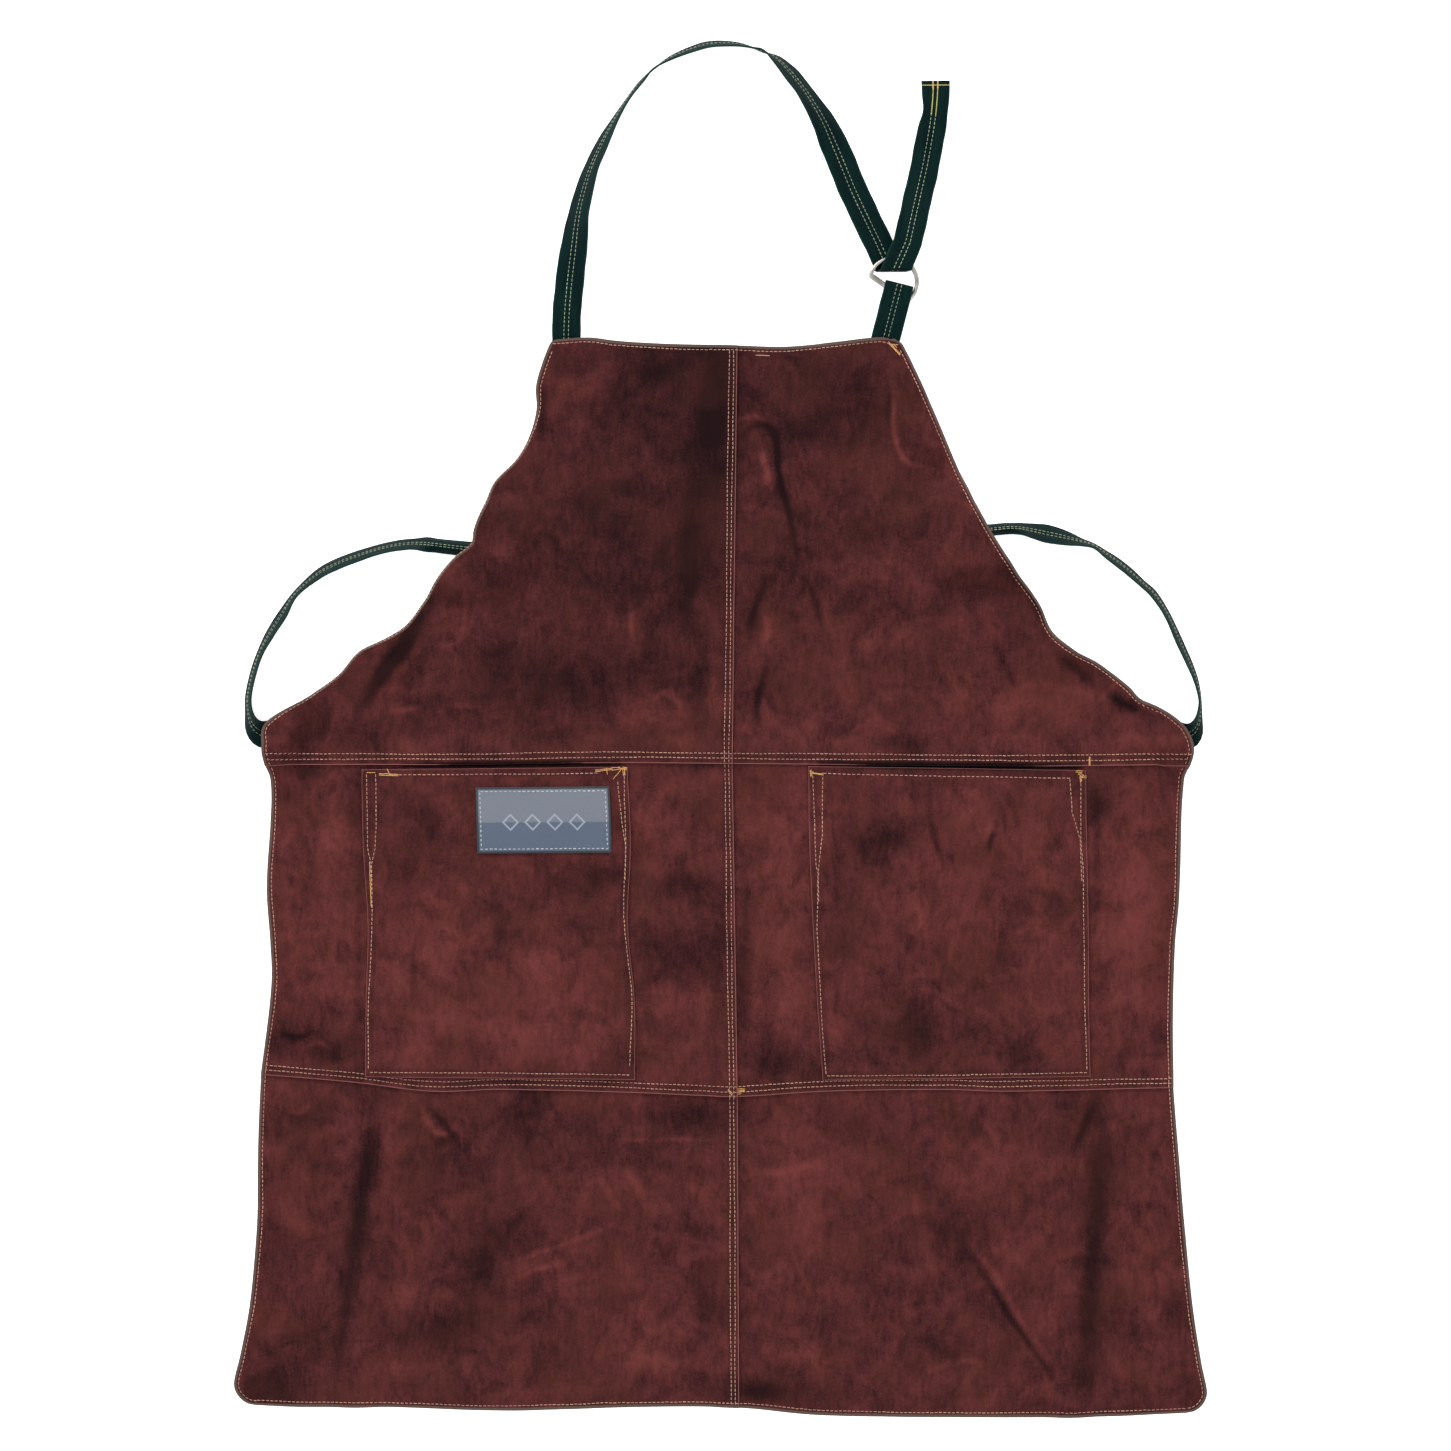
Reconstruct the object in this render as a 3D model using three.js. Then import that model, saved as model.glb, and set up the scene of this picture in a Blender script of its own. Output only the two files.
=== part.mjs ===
// A leather bib apron for workshop use, lying on its back on the floor as it was laid down.
// Millimetres. +X is across the apron to the viewer's right, +Y runs from the hem to the neck,
// +Z is up from the floor. Six leather panels are lapped and stitched together, two pockets and
// a label lie on the waist row, and cotton straps make the neck loop and the two waist ties.

import * as THREE from 'three';

// Driving sizes of the panels. Heights are measured between the laps, on the centre seam.
const bibHeight = 299;
const waistHeight = 236;
const skirtHeight = 225;
const bibWidth = 249;
const waistWidth = 658;
const hipWidth = 651;
const hemWidth = 695;
const leather = 1.3;
const gap = 0.3;
const lapWidth = 10;
const lapRamp = 12;
const bibCorner = 4;
const hemCorner = 16;

// How far the middle of each level, and the centre seam there, lie right of the apron's middle.
const bibShift = 3.6;
const waistShift = 4.3;
const hipShift = -2.7;
const bibSeam = 11.6;
const waistSeam = 8.2;
const hipSeam = 11.8;
const hemSeam = 12.9;

// Pockets and label. Insets are measured from the apron's sides, from the lap edge of the bib
// and from the pocket's own mouth and seam side.
const pocketWidth = 193;
const pocketHeight = 221;
const pocketInsetLeft = 66.5;
const pocketInsetRight = 63;
const pocketDrop = 3.2;
const pocketRoom = 3.2;
const labelWidth = 97;
const labelHeight = 47;
const labelDrop = 13.5;
const labelInset = 13.5;

// Straps, rings and the folds that tie them together.
const strapWidth = 20.5;
const strapThick = 1.4;
const strapRoot = 15;
const neckRise = 210;
const ringStrapLength = 41.5;
const ringRadius = 16.9;
const ringBarDrop = 5.3;
const ringWire = 3;
const ringPlay = 0.4;

// Folds of the leather, as a share of these two sizes in the table below.
const foldHeight = 7;
const foldReach = 40;

const pitch = leather + gap;
const strapPitch = strapThick + gap;

// Small helpers for tables: a smooth curve through rows, and a soft step.
function smoothStep(t) {
  const c = Math.min(1, Math.max(0, t));
  return c * c * (3 - 2 * c);
}

function mix(a, b, t) {
  return a + (b - a) * t;
}

function slope(rows, k, key, value) {
  const a = rows[Math.max(0, k - 1)];
  const b = rows[Math.min(rows.length - 1, k + 1)];
  return (b[value] - a[value]) / (b[key] - a[key]);
}

function along(rows, key, value, at) {
  const last = rows.length - 1;
  if (at <= rows[0][key]) return rows[0][value];
  if (at >= rows[last][key]) return rows[last][value];
  const k = rows.findIndex((row) => row[key] > at) - 1;
  const a = rows[k];
  const b = rows[k + 1];
  const span = b[key] - a[key];
  const t = (at - a[key]) / span;
  const s0 = slope(rows, k, key, value) * span;
  const s1 = slope(rows, k + 1, key, value) * span;
  const t2 = t * t;
  const t3 = t2 * t;
  return a[value] * (2 * t3 - 3 * t2 + 1) + s0 * (t3 - 2 * t2 + t)
    + b[value] * (3 * t2 - 2 * t3) + s1 * (t3 - t2);
}

// The four level lines from the top of the bib to the hem, with the height of each line above
// its corners: across runs from -1 at the left side over 0 at the centre seam to 1, and rise is
// a share of half the level's width.
const topEdge = [
  { across: -1, rise: 0.029 }, { across: -0.82, rise: 0.04 }, { across: -0.68, rise: 0.023 },
  { across: -0.41, rise: 0.006 }, { across: 0, rise: -0.003 }, { across: 0.3, rise: -0.011 },
  { across: 0.6, rise: 0.011 }, { across: 0.9, rise: 0.04 }, { across: 1, rise: 0.023 },
];
const waistEdge = [
  { across: -1, rise: -0.002 }, { across: -0.58, rise: -0.002 }, { across: -0.28, rise: 0.002 },
  { across: 0, rise: 0 }, { across: 0.65, rise: -0.005 }, { across: 1, rise: -0.002 },
];
const hipEdge = [
  { across: -1, rise: 0.044 }, { across: -0.8, rise: 0.026 }, { across: -0.64, rise: 0.007 },
  { across: -0.5, rise: 0.011 }, { across: -0.21, rise: 0.004 }, { across: 0, rise: -0.004 },
  { across: 0.19, rise: 0.007 }, { across: 0.48, rise: 0.011 }, { across: 0.61, rise: 0.007 },
  { across: 1, rise: 0.015 },
];
const hemEdge = [
  { across: -1, rise: 0.01 }, { across: -0.92, rise: 0.006 }, { across: -0.75, rise: 0.006 },
  { across: -0.47, rise: -0.002 }, { across: -0.2, rise: 0.006 }, { across: 0, rise: 0.004 },
  { across: 0.2, rise: -0.012 }, { across: 0.8, rise: -0.014 }, { across: 1, rise: -0.006 },
];
const levels = {
  top: { y: bibHeight, half: bibWidth / 2, shift: bibShift, seam: bibSeam, edge: topEdge },
  waist: { y: 0, half: waistWidth / 2, shift: waistShift, seam: waistSeam, edge: waistEdge },
  hip: { y: -waistHeight, half: hipWidth / 2, shift: hipShift, seam: hipSeam, edge: hipEdge },
  hem: { y: -waistHeight - skirtHeight, half: hemWidth / 2, shift: 0, seam: hemSeam, edge: hemEdge },
};

// The side outlines of each row: down is the share of the row's height below its upper level,
// and bow is how far the side stands out from the straight line between the corners, as a share
// of the row's height.
const rows = {
  bib: {
    upper: levels.top,
    lower: levels.waist,
    height: bibHeight,
    left: [
      { down: 0, bow: 0 }, { down: 0.05, bow: -0.014 }, { down: 0.11, bow: -0.038 },
      { down: 0.165, bow: -0.077 }, { down: 0.22, bow: -0.101 }, { down: 0.28, bow: -0.108 },
      { down: 0.335, bow: -0.092 }, { down: 0.39, bow: -0.107 }, { down: 0.42, bow: -0.113 },
      { down: 0.452, bow: -0.1235 }, { down: 0.478, bow: -0.138 }, { down: 0.492, bow: -0.134 },
      { down: 0.506, bow: -0.124 }, { down: 0.53, bow: -0.1165 }, { down: 0.56, bow: -0.1135 },
      { down: 0.62, bow: -0.115 }, { down: 0.675, bow: -0.109 },
      { down: 0.704, bow: -0.085 }, { down: 0.732, bow: -0.042 }, { down: 0.789, bow: -0.028 },
      { down: 0.845, bow: 0.012 }, { down: 0.902, bow: 0.062 }, { down: 0.959, bow: 0.031 },
      { down: 1, bow: 0 },
    ],
    right: [
      { down: 0, bow: 0 }, { down: 0.05, bow: -0.009 }, { down: 0.165, bow: -0.034 },
      { down: 0.28, bow: -0.064 }, { down: 0.39, bow: -0.089 }, { down: 0.505, bow: -0.1 },
      { down: 0.62, bow: -0.094 }, { down: 0.69, bow: -0.109 }, { down: 0.731, bow: -0.086 },
      { down: 0.76, bow: -0.05 }, { down: 0.816, bow: -0.017 }, { down: 0.844, bow: -0.008 },
      { down: 0.873, bow: 0.027 }, { down: 0.9, bow: 0.045 }, { down: 0.922, bow: 0.0475 },
      { down: 0.958, bow: 0.0345 }, { down: 1, bow: 0 },
    ],
  },
  waist: {
    upper: levels.waist,
    lower: levels.hip,
    height: waistHeight,
    left: [
      { down: 0, bow: 0 }, { down: 0.05, bow: -0.016 }, { down: 0.18, bow: -0.018 },
      { down: 0.4, bow: -0.01 }, { down: 0.57, bow: -0.024 }, { down: 0.7, bow: -0.029 },
      { down: 1, bow: 0 },
    ],
    right: [
      { down: 0, bow: 0 }, { down: 0.05, bow: -0.013 }, { down: 0.42, bow: -0.012 },
      { down: 0.55, bow: -0.018 }, { down: 0.8, bow: -0.011 }, { down: 1, bow: 0 },
    ],
  },
  skirt: {
    upper: levels.hip,
    lower: levels.hem,
    height: skirtHeight,
    left: [
      { down: 0, bow: 0 }, { down: 0.2, bow: -0.008 }, { down: 0.44, bow: -0.025 },
      { down: 0.69, bow: -0.024 }, { down: 0.85, bow: -0.006 }, { down: 0.93, bow: 0.006 },
      { down: 1, bow: 0 },
    ],
    right: [
      { down: 0, bow: 0 }, { down: 0.29, bow: -0.008 }, { down: 0.65, bow: -0.013 },
      { down: 0.85, bow: -0.004 }, { down: 0.93, bow: 0.004 }, { down: 1, bow: 0 },
    ],
  },
};

// How far a rounded corner pulls the side in at a distance from the corner's level.
function cornerInset(radius, distance) {
  if (distance >= radius) return 0;
  const leg = radius - Math.max(0, distance);
  return radius - Math.sqrt(radius * radius - leg * leg);
}

// The x of the left side, the centre seam and the right side at a share down one row.
function rowEnds(row, down) {
  const { upper, lower, height } = row;
  const shift = mix(upper.shift, lower.shift, down);
  const half = mix(upper.half, lower.half, down);
  const top = upper === levels.top ? cornerInset(bibCorner, down * height) : 0;
  const foot = lower === levels.hem ? cornerInset(hemCorner, (1 - down) * height) : 0;
  const bowLeft = along(row.left, 'down', 'bow', down) * height;
  const bowRight = along(row.right, 'down', 'bow', down) * height;
  return {
    left: shift - half - bowLeft + top + foot,
    seam: mix(upper.seam, lower.seam, down),
    right: shift + half + bowRight - top - foot,
  };
}

// A place on the pattern. side is -1 or 1, fromSeam is a distance from the centre seam in
// millimetres, used for the laps, and share runs from there to the side.
function place(row, down, side, share, fromSeam = 0) {
  const ends = rowEnds(row, down);
  const reach = side < 0 ? ends.seam - ends.left : ends.right - ends.seam;
  const offset = fromSeam + side * share * (reach - Math.abs(fromSeam));
  const across = offset / (offset < 0 ? ends.seam - ends.left : ends.right - ends.seam);
  const { upper, lower } = row;
  const high = upper.y + along(upper.edge, 'across', 'rise', across) * upper.half;
  const low = lower.y + along(lower.edge, 'across', 'rise', across) * lower.half;
  return new THREE.Vector2(ends.seam + offset, mix(high, low, down));
}

// The lines of the shared grid. All panels take their corners from it, so that two panels in a
// lap have the same corners and keep their gap everywhere.
const columnShares = [0.1, 0.17, 0.24, 0.32, 0.4, 0.48, 0.56, 0.63, 0.7, 0.77, 0.83, 0.89, 0.94, 0.975, 1];
const rampStart = -lapWidth - lapRamp;
const columns = [
  ...columnShares.toReversed().map((share) => ({ side: -1, share, fromSeam: rampStart })),
  { side: -1, share: 0, fromSeam: rampStart },
  { side: -1, share: 0, fromSeam: -lapWidth },
  { side: -1, share: 0, fromSeam: 0 },
  ...columnShares.map((share) => ({ side: 1, share, fromSeam: 0 })),
];
const rampColumn = columnShares.length;
const hiddenColumn = rampColumn + 1;
const seamColumn = rampColumn + 2;

// Rows of the grid between two shares of a row, both ends included.
function spread(row, from, to, steps) {
  const lines = [];
  for (let k = 0; k <= steps; k += 1) {
    lines.push({ row, down: mix(from, to, k / steps) });
  }
  return lines;
}

function cornerLines(row, radius, atFoot) {
  const downs = [0, 0.3, 0.66].map((sine) => (radius * sine) / row.height);
  if (atFoot) return downs.map((down) => ({ row, down: 1 - down })).toReversed();
  return downs.map((down) => ({ row, down }));
}

const bibRamp = 1 - (lapWidth + lapRamp) / bibHeight;
const bibHidden = 1 - lapWidth / bibHeight;
const waistRamp = 1 - (lapWidth + lapRamp) / waistHeight;
const waistHidden = 1 - lapWidth / waistHeight;
const bibLines = [
  ...cornerLines(rows.bib, bibCorner, false),
  ...spread(rows.bib, 0.05, bibRamp, 15),
  { row: rows.bib, down: bibHidden },
];
const waistLines = [
  ...spread(rows.waist, 0, waistRamp, 10),
  { row: rows.waist, down: waistHidden },
];
const skirtLines = [
  ...spread(rows.skirt, 0, 1 - hemCorner / skirtHeight, 10),
  ...cornerLines(rows.skirt, hemCorner, true),
];
const lines = [...bibLines, ...waistLines, ...skirtLines];
const bibLap = bibLines.length;
const waistLap = bibLines.length + waistLines.length;
const hemLine = lines.length - 1;

// The panels, from the lowest layer to the highest. A row lies over the row below it, and the
// left half lies over the right half. base is the number of layers that a whole panel is lifted.
const panels = [
  { name: 'skirt_right', base: 0, column: [hiddenColumn, columns.length - 1], line: [waistLap - 1, hemLine] },
  { name: 'skirt_left', base: 0, column: [0, seamColumn], line: [waistLap - 1, hemLine] },
  { name: 'waist_right', base: 1, column: [hiddenColumn, columns.length - 1], line: [bibLap - 1, waistLap] },
  { name: 'waist_left', base: 1, column: [0, seamColumn], line: [bibLap - 1, waistLap] },
  { name: 'bib_right', base: 0, column: [hiddenColumn, columns.length - 1], line: [0, bibLap] },
  { name: 'bib_left', base: 0, column: [0, seamColumn], line: [0, bibLap] },
];

function covers(panel, i, j) {
  const inColumns = i >= panel.column[0] && i <= panel.column[1];
  return inColumns && j >= panel.line[0] && j <= panel.line[1];
}

// The layer that a panel has at one grid corner: one more than the highest panel under it.
function layerOf(panel, i, j) {
  let layer = panel.base;
  for (const lower of panels.slice(0, panels.indexOf(panel))) {
    if (covers(lower, i, j)) layer = Math.max(layer, layerOf(lower, i, j) + 1);
  }
  return layer;
}

// The main folds, each a soft ridge between two places of a row. across and down are the shares
// of place(), reach is a share of foldReach and rise a share of foldHeight.
const folds = [
  { row: 'bib', from: [-0.4, 0.05], to: [-0.25, 0.72], reach: 0.95, rise: 0.6 },
  { row: 'bib', from: [0.38, 0.05], to: [0.2, 0.66], reach: 0.8, rise: 0.5 },
  { row: 'bib', from: [0.82, 0.1], to: [0.78, 0.42], reach: 0.45, rise: 0.55 },
  { row: 'bib', from: [-1.05, 0.15], to: [-0.6, 0.32], reach: 0.5, rise: 0.5 },
  { row: 'bib', from: [-1.1, 0.64], to: [-0.8, 0.84], reach: 0.55, rise: 0.9 },
  { row: 'bib', from: [1.1, 0.66], to: [0.72, 0.84], reach: 0.55, rise: 0.8 },
  { row: 'bib', from: [1.08, 0.8], to: [0.76, 0.88], reach: 0.4, rise: 0.5 },
  { row: 'waist', from: [-0.97, 0.1], to: [-0.94, 0.86], reach: 0.5, rise: 0.5 },
  { row: 'waist', from: [0.98, 0.12], to: [0.95, 0.84], reach: 0.45, rise: 0.45 },
  { row: 'skirt', from: [-0.76, 0.05], to: [-0.8, 1.15], reach: 0.62, rise: 1 },
  { row: 'skirt', from: [0.83, 0.05], to: [0.73, 1.15], reach: 0.58, rise: 1 },
  { row: 'skirt', from: [0.5, 0.4], to: [0.7, 1], reach: 0.5, rise: 0.6 },
  { row: 'skirt', from: [-0.45, 0.1], to: [-0.52, 1], reach: 1, rise: 0.4 },
  { row: 'skirt', from: [0.22, 0.12], to: [0.3, 1], reach: 1, rise: 0.45 },
];

function foldLine({ row, from, to }) {
  const ends = [from, to].map(([across, down]) => {
    return place(rows[row], down, Math.sign(across), Math.abs(across));
  });
  return { start: ends[0], end: ends[1] };
}

const ridges = folds.map((fold) => ({ ...fold, ...foldLine(fold) }));

// Where a point lies beside a line: the share along it and the distance from it.
function beside(point, start, end) {
  const run = end.clone().sub(start);
  const t = point.clone().sub(start).dot(run) / run.lengthSq();
  const share = Math.min(1, Math.max(0, t));
  const foot = start.clone().addScaledVector(run, share);
  return { share: t, distance: foot.distanceTo(point) };
}

const fadeShare = 0.3;

function foldsAt(point) {
  let height = 0;
  for (const ridge of ridges) {
    const { share, distance } = beside(point, ridge.start, ridge.end);
    const reach = ridge.reach * foldReach;
    if (distance < reach) {
      const fade = smoothStep(share / fadeShare) * smoothStep((1 - share) / fadeShare);
      const crest = 0.5 + 0.5 * Math.cos((Math.PI * distance) / reach);
      height += ridge.rise * foldHeight * crest * fade;
    }
  }
  return height;
}

// Straps. A section is the middle of the strap, a vector to its edge and one to its face.
// roll turns the strap on its length, and positive roll lifts its right edge.
function rolledHeight(roll) {
  const turn = THREE.MathUtils.degToRad(roll);
  return (Math.abs(Math.sin(turn)) * strapWidth + Math.abs(Math.cos(turn)) * strapThick) / 2;
}

function strapSection(point, heading, roll, lift, sway = 0) {
  const turn = THREE.MathUtils.degToRad(roll);
  const side = new THREE.Vector3(heading.y, -heading.x, 0);
  const up = new THREE.Vector3(0, 0, 1);
  const edge = side.clone().multiplyScalar(Math.cos(turn)).addScaledVector(up, Math.sin(turn));
  const face = side.clone().multiplyScalar(-Math.sin(turn)).addScaledVector(up, Math.cos(turn));
  const middle = new THREE.Vector3(point.x, point.y, lift + rolledHeight(roll));
  return {
    middle: middle.addScaledVector(side, sway),
    edge: edge.multiplyScalar(strapWidth / 2),
    face: face.multiplyScalar(strapThick / 2),
  };
}

// A stretch of strap through a few places, each with its roll in degrees and its lift.
function strapStretch(stations, steps) {
  const curve = new THREE.SplineCurve(stations.map(({ x, y }) => new THREE.Vector2(x, y)));
  const last = stations.length - 1;
  const keyed = stations.map((station, k) => ({ key: k / last, ...station }));
  const sections = [];
  for (let k = 0; k <= steps; k += 1) {
    const at = curve.getUtoTmapping(k / steps);
    const roll = along(keyed, 'key', 'roll', at);
    const lift = along(keyed, 'key', 'lift', at);
    const heading = curve.getTangent(at);
    sections.push(strapSection(curve.getPoint(at), heading, roll, Math.max(0, lift)));
  }
  return sections;
}

// The strap folded back over the bars of the rings. crease is where the middle of the strap
// meets the outside of the fold, out is the way that the fold points, and drift is how far the
// strap slips sideways for each millimetre that it runs towards the crease.
const foldBend = strapThick / 2 + 0.6;
const underLift = strapThick / 2;
const ringLow = strapPitch + ringWire / 2;
const ringHigh = ringLow + ringWire + gap;
const overLift = ringHigh + ringWire / 2 + gap + strapThick / 2;

function foldBack(crease, out, drift) {
  const side = new THREE.Vector3(out.y, -out.x, 0);
  const ahead = new THREE.Vector3(out.x, out.y, 0);
  const slant = Math.hypot(1, drift);
  const wall = -strapThick / 2;
  const inner = wall - foldBend;
  const rise = overLift - underLift - 2 * foldBend;
  const bend = (Math.PI / 2) * foldBend;
  const halfway = foldBend * Math.SQRT1_2;
  const profile = [
    { reach: inner - strapWidth / 2, z: underLift, turn: 0, run: -strapWidth / 2 },
    { reach: inner, z: underLift, turn: 0, run: 0 },
    { reach: inner + halfway, z: underLift + foldBend - halfway, turn: 45, run: bend / 2 },
    { reach: wall, z: underLift + foldBend, turn: 90, run: bend },
    { reach: wall, z: overLift - foldBend, turn: 90, run: bend + rise },
    { reach: inner + halfway, z: overLift - foldBend + halfway, turn: 135, run: bend * 1.5 + rise },
    { reach: inner, z: overLift, turn: 180, run: bend * 2 + rise },
    { reach: inner - strapWidth / 2, z: overLift, turn: 180, run: bend * 2 + rise + strapWidth / 2 },
  ];
  const half = bend + rise / 2;
  return profile.map(({ reach, z, turn, run }) => {
    const angle = THREE.MathUtils.degToRad(turn);
    const middle = new THREE.Vector3(crease.x, crease.y, z).addScaledVector(ahead, reach);
    middle.addScaledVector(side, drift * (run - half));
    const face = new THREE.Vector3(0, 0, Math.cos(angle)).addScaledVector(ahead, -Math.sin(angle));
    return {
      middle,
      edge: side.clone().multiplyScalar((strapWidth / 2) * slant),
      face: face.multiplyScalar(strapThick / 2),
    };
  });
}

// Solids from sections or grids.
function solid(name, corners, faces, look) {
  const geometry = new THREE.BufferGeometry();
  geometry.setAttribute('position', new THREE.Float32BufferAttribute(corners, 3));
  geometry.setIndex(faces);
  const flat = geometry.toNonIndexed();
  flat.computeVertexNormals();
  const mesh = new THREE.Mesh(flat, new THREE.MeshStandardMaterial(look));
  mesh.name = name;
  return mesh;
}

// Joins rings of points, listed the same way round, into one closed skin.
function sweep(name, rings, look, closed = false) {
  const count = rings[0].length;
  const corners = rings.flat().flatMap((point) => [point.x, point.y, point.z]);
  const faces = [];
  const spans = closed ? rings.length : rings.length - 1;
  for (let k = 0; k < spans; k += 1) {
    const here = k * count;
    const next = ((k + 1) % rings.length) * count;
    for (let c = 0; c < count; c += 1) {
      const d = (c + 1) % count;
      faces.push(here + c, next + c, next + d, here + c, next + d, here + d);
    }
  }
  if (!closed) {
    const end = (rings.length - 1) * count;
    for (let c = 1; c < count - 1; c += 1) {
      faces.push(0, c, c + 1, end, end + c + 1, end + c);
    }
  }
  return solid(name, corners, faces, look);
}

function strap(name, sections, look) {
  const rings = sections.map(({ middle, edge, face }) => [
    middle.clone().sub(edge).sub(face),
    middle.clone().add(edge).sub(face),
    middle.clone().add(edge).add(face),
    middle.clone().sub(edge).add(face),
  ]);
  return sweep(name, rings, look);
}

// A sheet between an underside grid and the same grid lifted by its thickness.
function sheet(name, grid, thickness, look) {
  const high = grid.length;
  const wide = grid[0].length;
  const size = high * wide;
  const flat = grid.flat();
  const corners = [
    ...flat.flatMap((point) => [point.x, point.y, point.z]),
    ...flat.flatMap((point) => [point.x, point.y, point.z + thickness]),
  ];
  const faces = [];
  for (let j = 0; j < high - 1; j += 1) {
    for (let i = 0; i < wide - 1; i += 1) {
      const a = j * wide + i;
      const b = a + 1;
      const d = a + wide;
      const c = d + 1;
      faces.push(a, c, d, a, b, c);
      faces.push(size + a, size + d, size + c, size + a, size + c, size + b);
    }
  }
  const rim = [];
  for (let j = 0; j < high - 1; j += 1) rim.push(j * wide);
  for (let i = 0; i < wide - 1; i += 1) rim.push((high - 1) * wide + i);
  for (let j = high - 1; j > 0; j -= 1) rim.push(j * wide + wide - 1);
  for (let i = wide - 1; i > 0; i -= 1) rim.push(i);
  rim.forEach((p, k) => {
    const q = rim[(k + 1) % rim.length];
    faces.push(p, q, size + q, p, size + q, size + p);
  });
  return solid(name, corners, faces, look);
}

// Finishes.
const suede = { color: 0x55292b, roughness: 0.95, metalness: 0 };
const pocketSuede = { color: 0x5c2e30, roughness: 0.95, metalness: 0 };
const cotton = { color: 0x0b2f2c, roughness: 0.9, metalness: 0 };
const labelCloth = { color: 0x6f7f95, roughness: 0.8, metalness: 0 };
const nickel = { color: 0xc4c2bd, roughness: 0.3, metalness: 1 };

// The neck strap. Its places are shares: across runs from the bib's left corner to its right
// corner, and up runs from the bib's top, or past the top of the loop from the rings' crease,
// to the top of the loop.
const bibLeft = bibShift - bibWidth / 2;
const bibRight = bibShift + bibWidth / 2;
const bibTop = bibHeight + 3;
const rising = [
  { across: 0.042, up: 0.051, roll: 0 }, { across: 0.049, up: 0.173, roll: 0 },
  { across: 0.062, up: 0.296, roll: 14 }, { across: 0.077, up: 0.418, roll: 40 },
  { across: 0.093, up: 0.5, roll: 47 }, { across: 0.115, up: 0.582, roll: 56 },
  { across: 0.146, up: 0.663, roll: 60 }, { across: 0.183, up: 0.745, roll: 72 },
  { across: 0.219, up: 0.813, roll: 78 }, { across: 0.259, up: 0.874, roll: 77 },
  { across: 0.292, up: 0.915, roll: 82 }, { across: 0.341, up: 0.952, roll: 74 },
  { across: 0.398, up: 0.981, roll: 69 }, { across: 0.456, up: 1, roll: 68 },
];
const falling = [
  { across: 0.527, up: 1, roll: 72 }, { across: 0.576, up: 0.984, roll: 79 },
  { across: 0.607, up: 0.969, roll: 84 }, { across: 0.642, up: 0.937, roll: 67 },
  { across: 0.67, up: 0.897, roll: 57 }, { across: 0.693, up: 0.857, roll: 52 },
  { across: 0.731, up: 0.78, roll: 50 }, { across: 0.778, up: 0.664, roll: 32 },
  { across: 0.812, up: 0.556, roll: 8 }, { across: 0.842, up: 0.448, roll: 0 },
  { across: 0.871, up: 0.341, roll: 0 },
];

// The ring strap leans, and its crease, the rings and the neck strap's crease follow it.
const ringStrapInset = 11;
const ringLean = 14.3;
const ringTilt = 36;
const lean = THREE.MathUtils.degToRad(ringLean);
const ringHeading = new THREE.Vector2(Math.sin(lean), Math.cos(lean));
const ringStrapStart = new THREE.Vector2(bibRight - ringStrapInset, bibTop);
const ringCrease = ringStrapStart.clone().addScaledVector(ringHeading, ringStrapLength);
const ringSlide = ringRadius - (strapWidth + ringWire) / 2 - ringPlay;
const ringCentre = ringCrease.clone()
  .add(new THREE.Vector2(-ringHeading.y, ringHeading.x).multiplyScalar(ringSlide));

// The neck strap turns back over the curved bows of the rings.
const neckCrease = new THREE.Vector2(ringCentre.x, ringCentre.y + 7.5);
const creaseDown = new THREE.Vector2(0, -1);
const neckDrift = -0.44;
const loopTop = bibTop + neckRise;

function neckStations() {
  const stations = [{ x: bibLeft + 0.042 * bibWidth, y: bibTop - strapRoot, roll: 0, lift: 0 }];
  for (const { across, up, roll } of rising) {
    stations.push({ x: mix(bibLeft, bibRight, across), y: bibTop + up * neckRise, roll, lift: 0 });
  }
  for (const { across, up, roll } of falling) {
    const y = mix(neckCrease.y, loopTop, up);
    stations.push({ x: mix(bibLeft, bibRight, across), y, roll, lift: 0 });
  }
  return stations;
}

// The free tail of the neck strap, by its distances from the crease.
const tailLength = 141;
const tail = [
  { right: 0.107, up: 0.3, lift: 0.8 }, { right: 0.135, up: 0.42, lift: 0.25 },
  { right: 0.162, up: 0.54, lift: 0 }, { right: 0.184, up: 0.66, lift: 0 },
  { right: 0.203, up: 0.78, lift: 0 }, { right: 0.214, up: 0.9, lift: 0 },
  { right: 0.215, up: 0.97, lift: 0 },
];

function neckSections() {
  const fold = foldBack(neckCrease, creaseDown, neckDrift);
  const first = fold[0].middle;
  const lastOver = fold[fold.length - 1].middle;
  const run = new THREE.Vector2(-neckDrift, -1).normalize();
  const before = { x: first.x - run.x * 9, y: first.y - run.y * 9, roll: 0, lift: 0 };
  const loop = strapStretch([...neckStations(), before], 64);
  const free = tail.map(({ right, up, lift }) => ({
    x: neckCrease.x + right * tailLength,
    y: neckCrease.y + up * tailLength,
    roll: 180,
    lift: lift * (overLift - underLift),
  }));
  const after = {
    x: lastOver.x + run.x * 9,
    y: lastOver.y - run.y * 9,
    roll: 180,
    lift: overLift - underLift,
  };
  return [...loop, ...fold, ...strapStretch([after, ...free], 14)];
}

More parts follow.
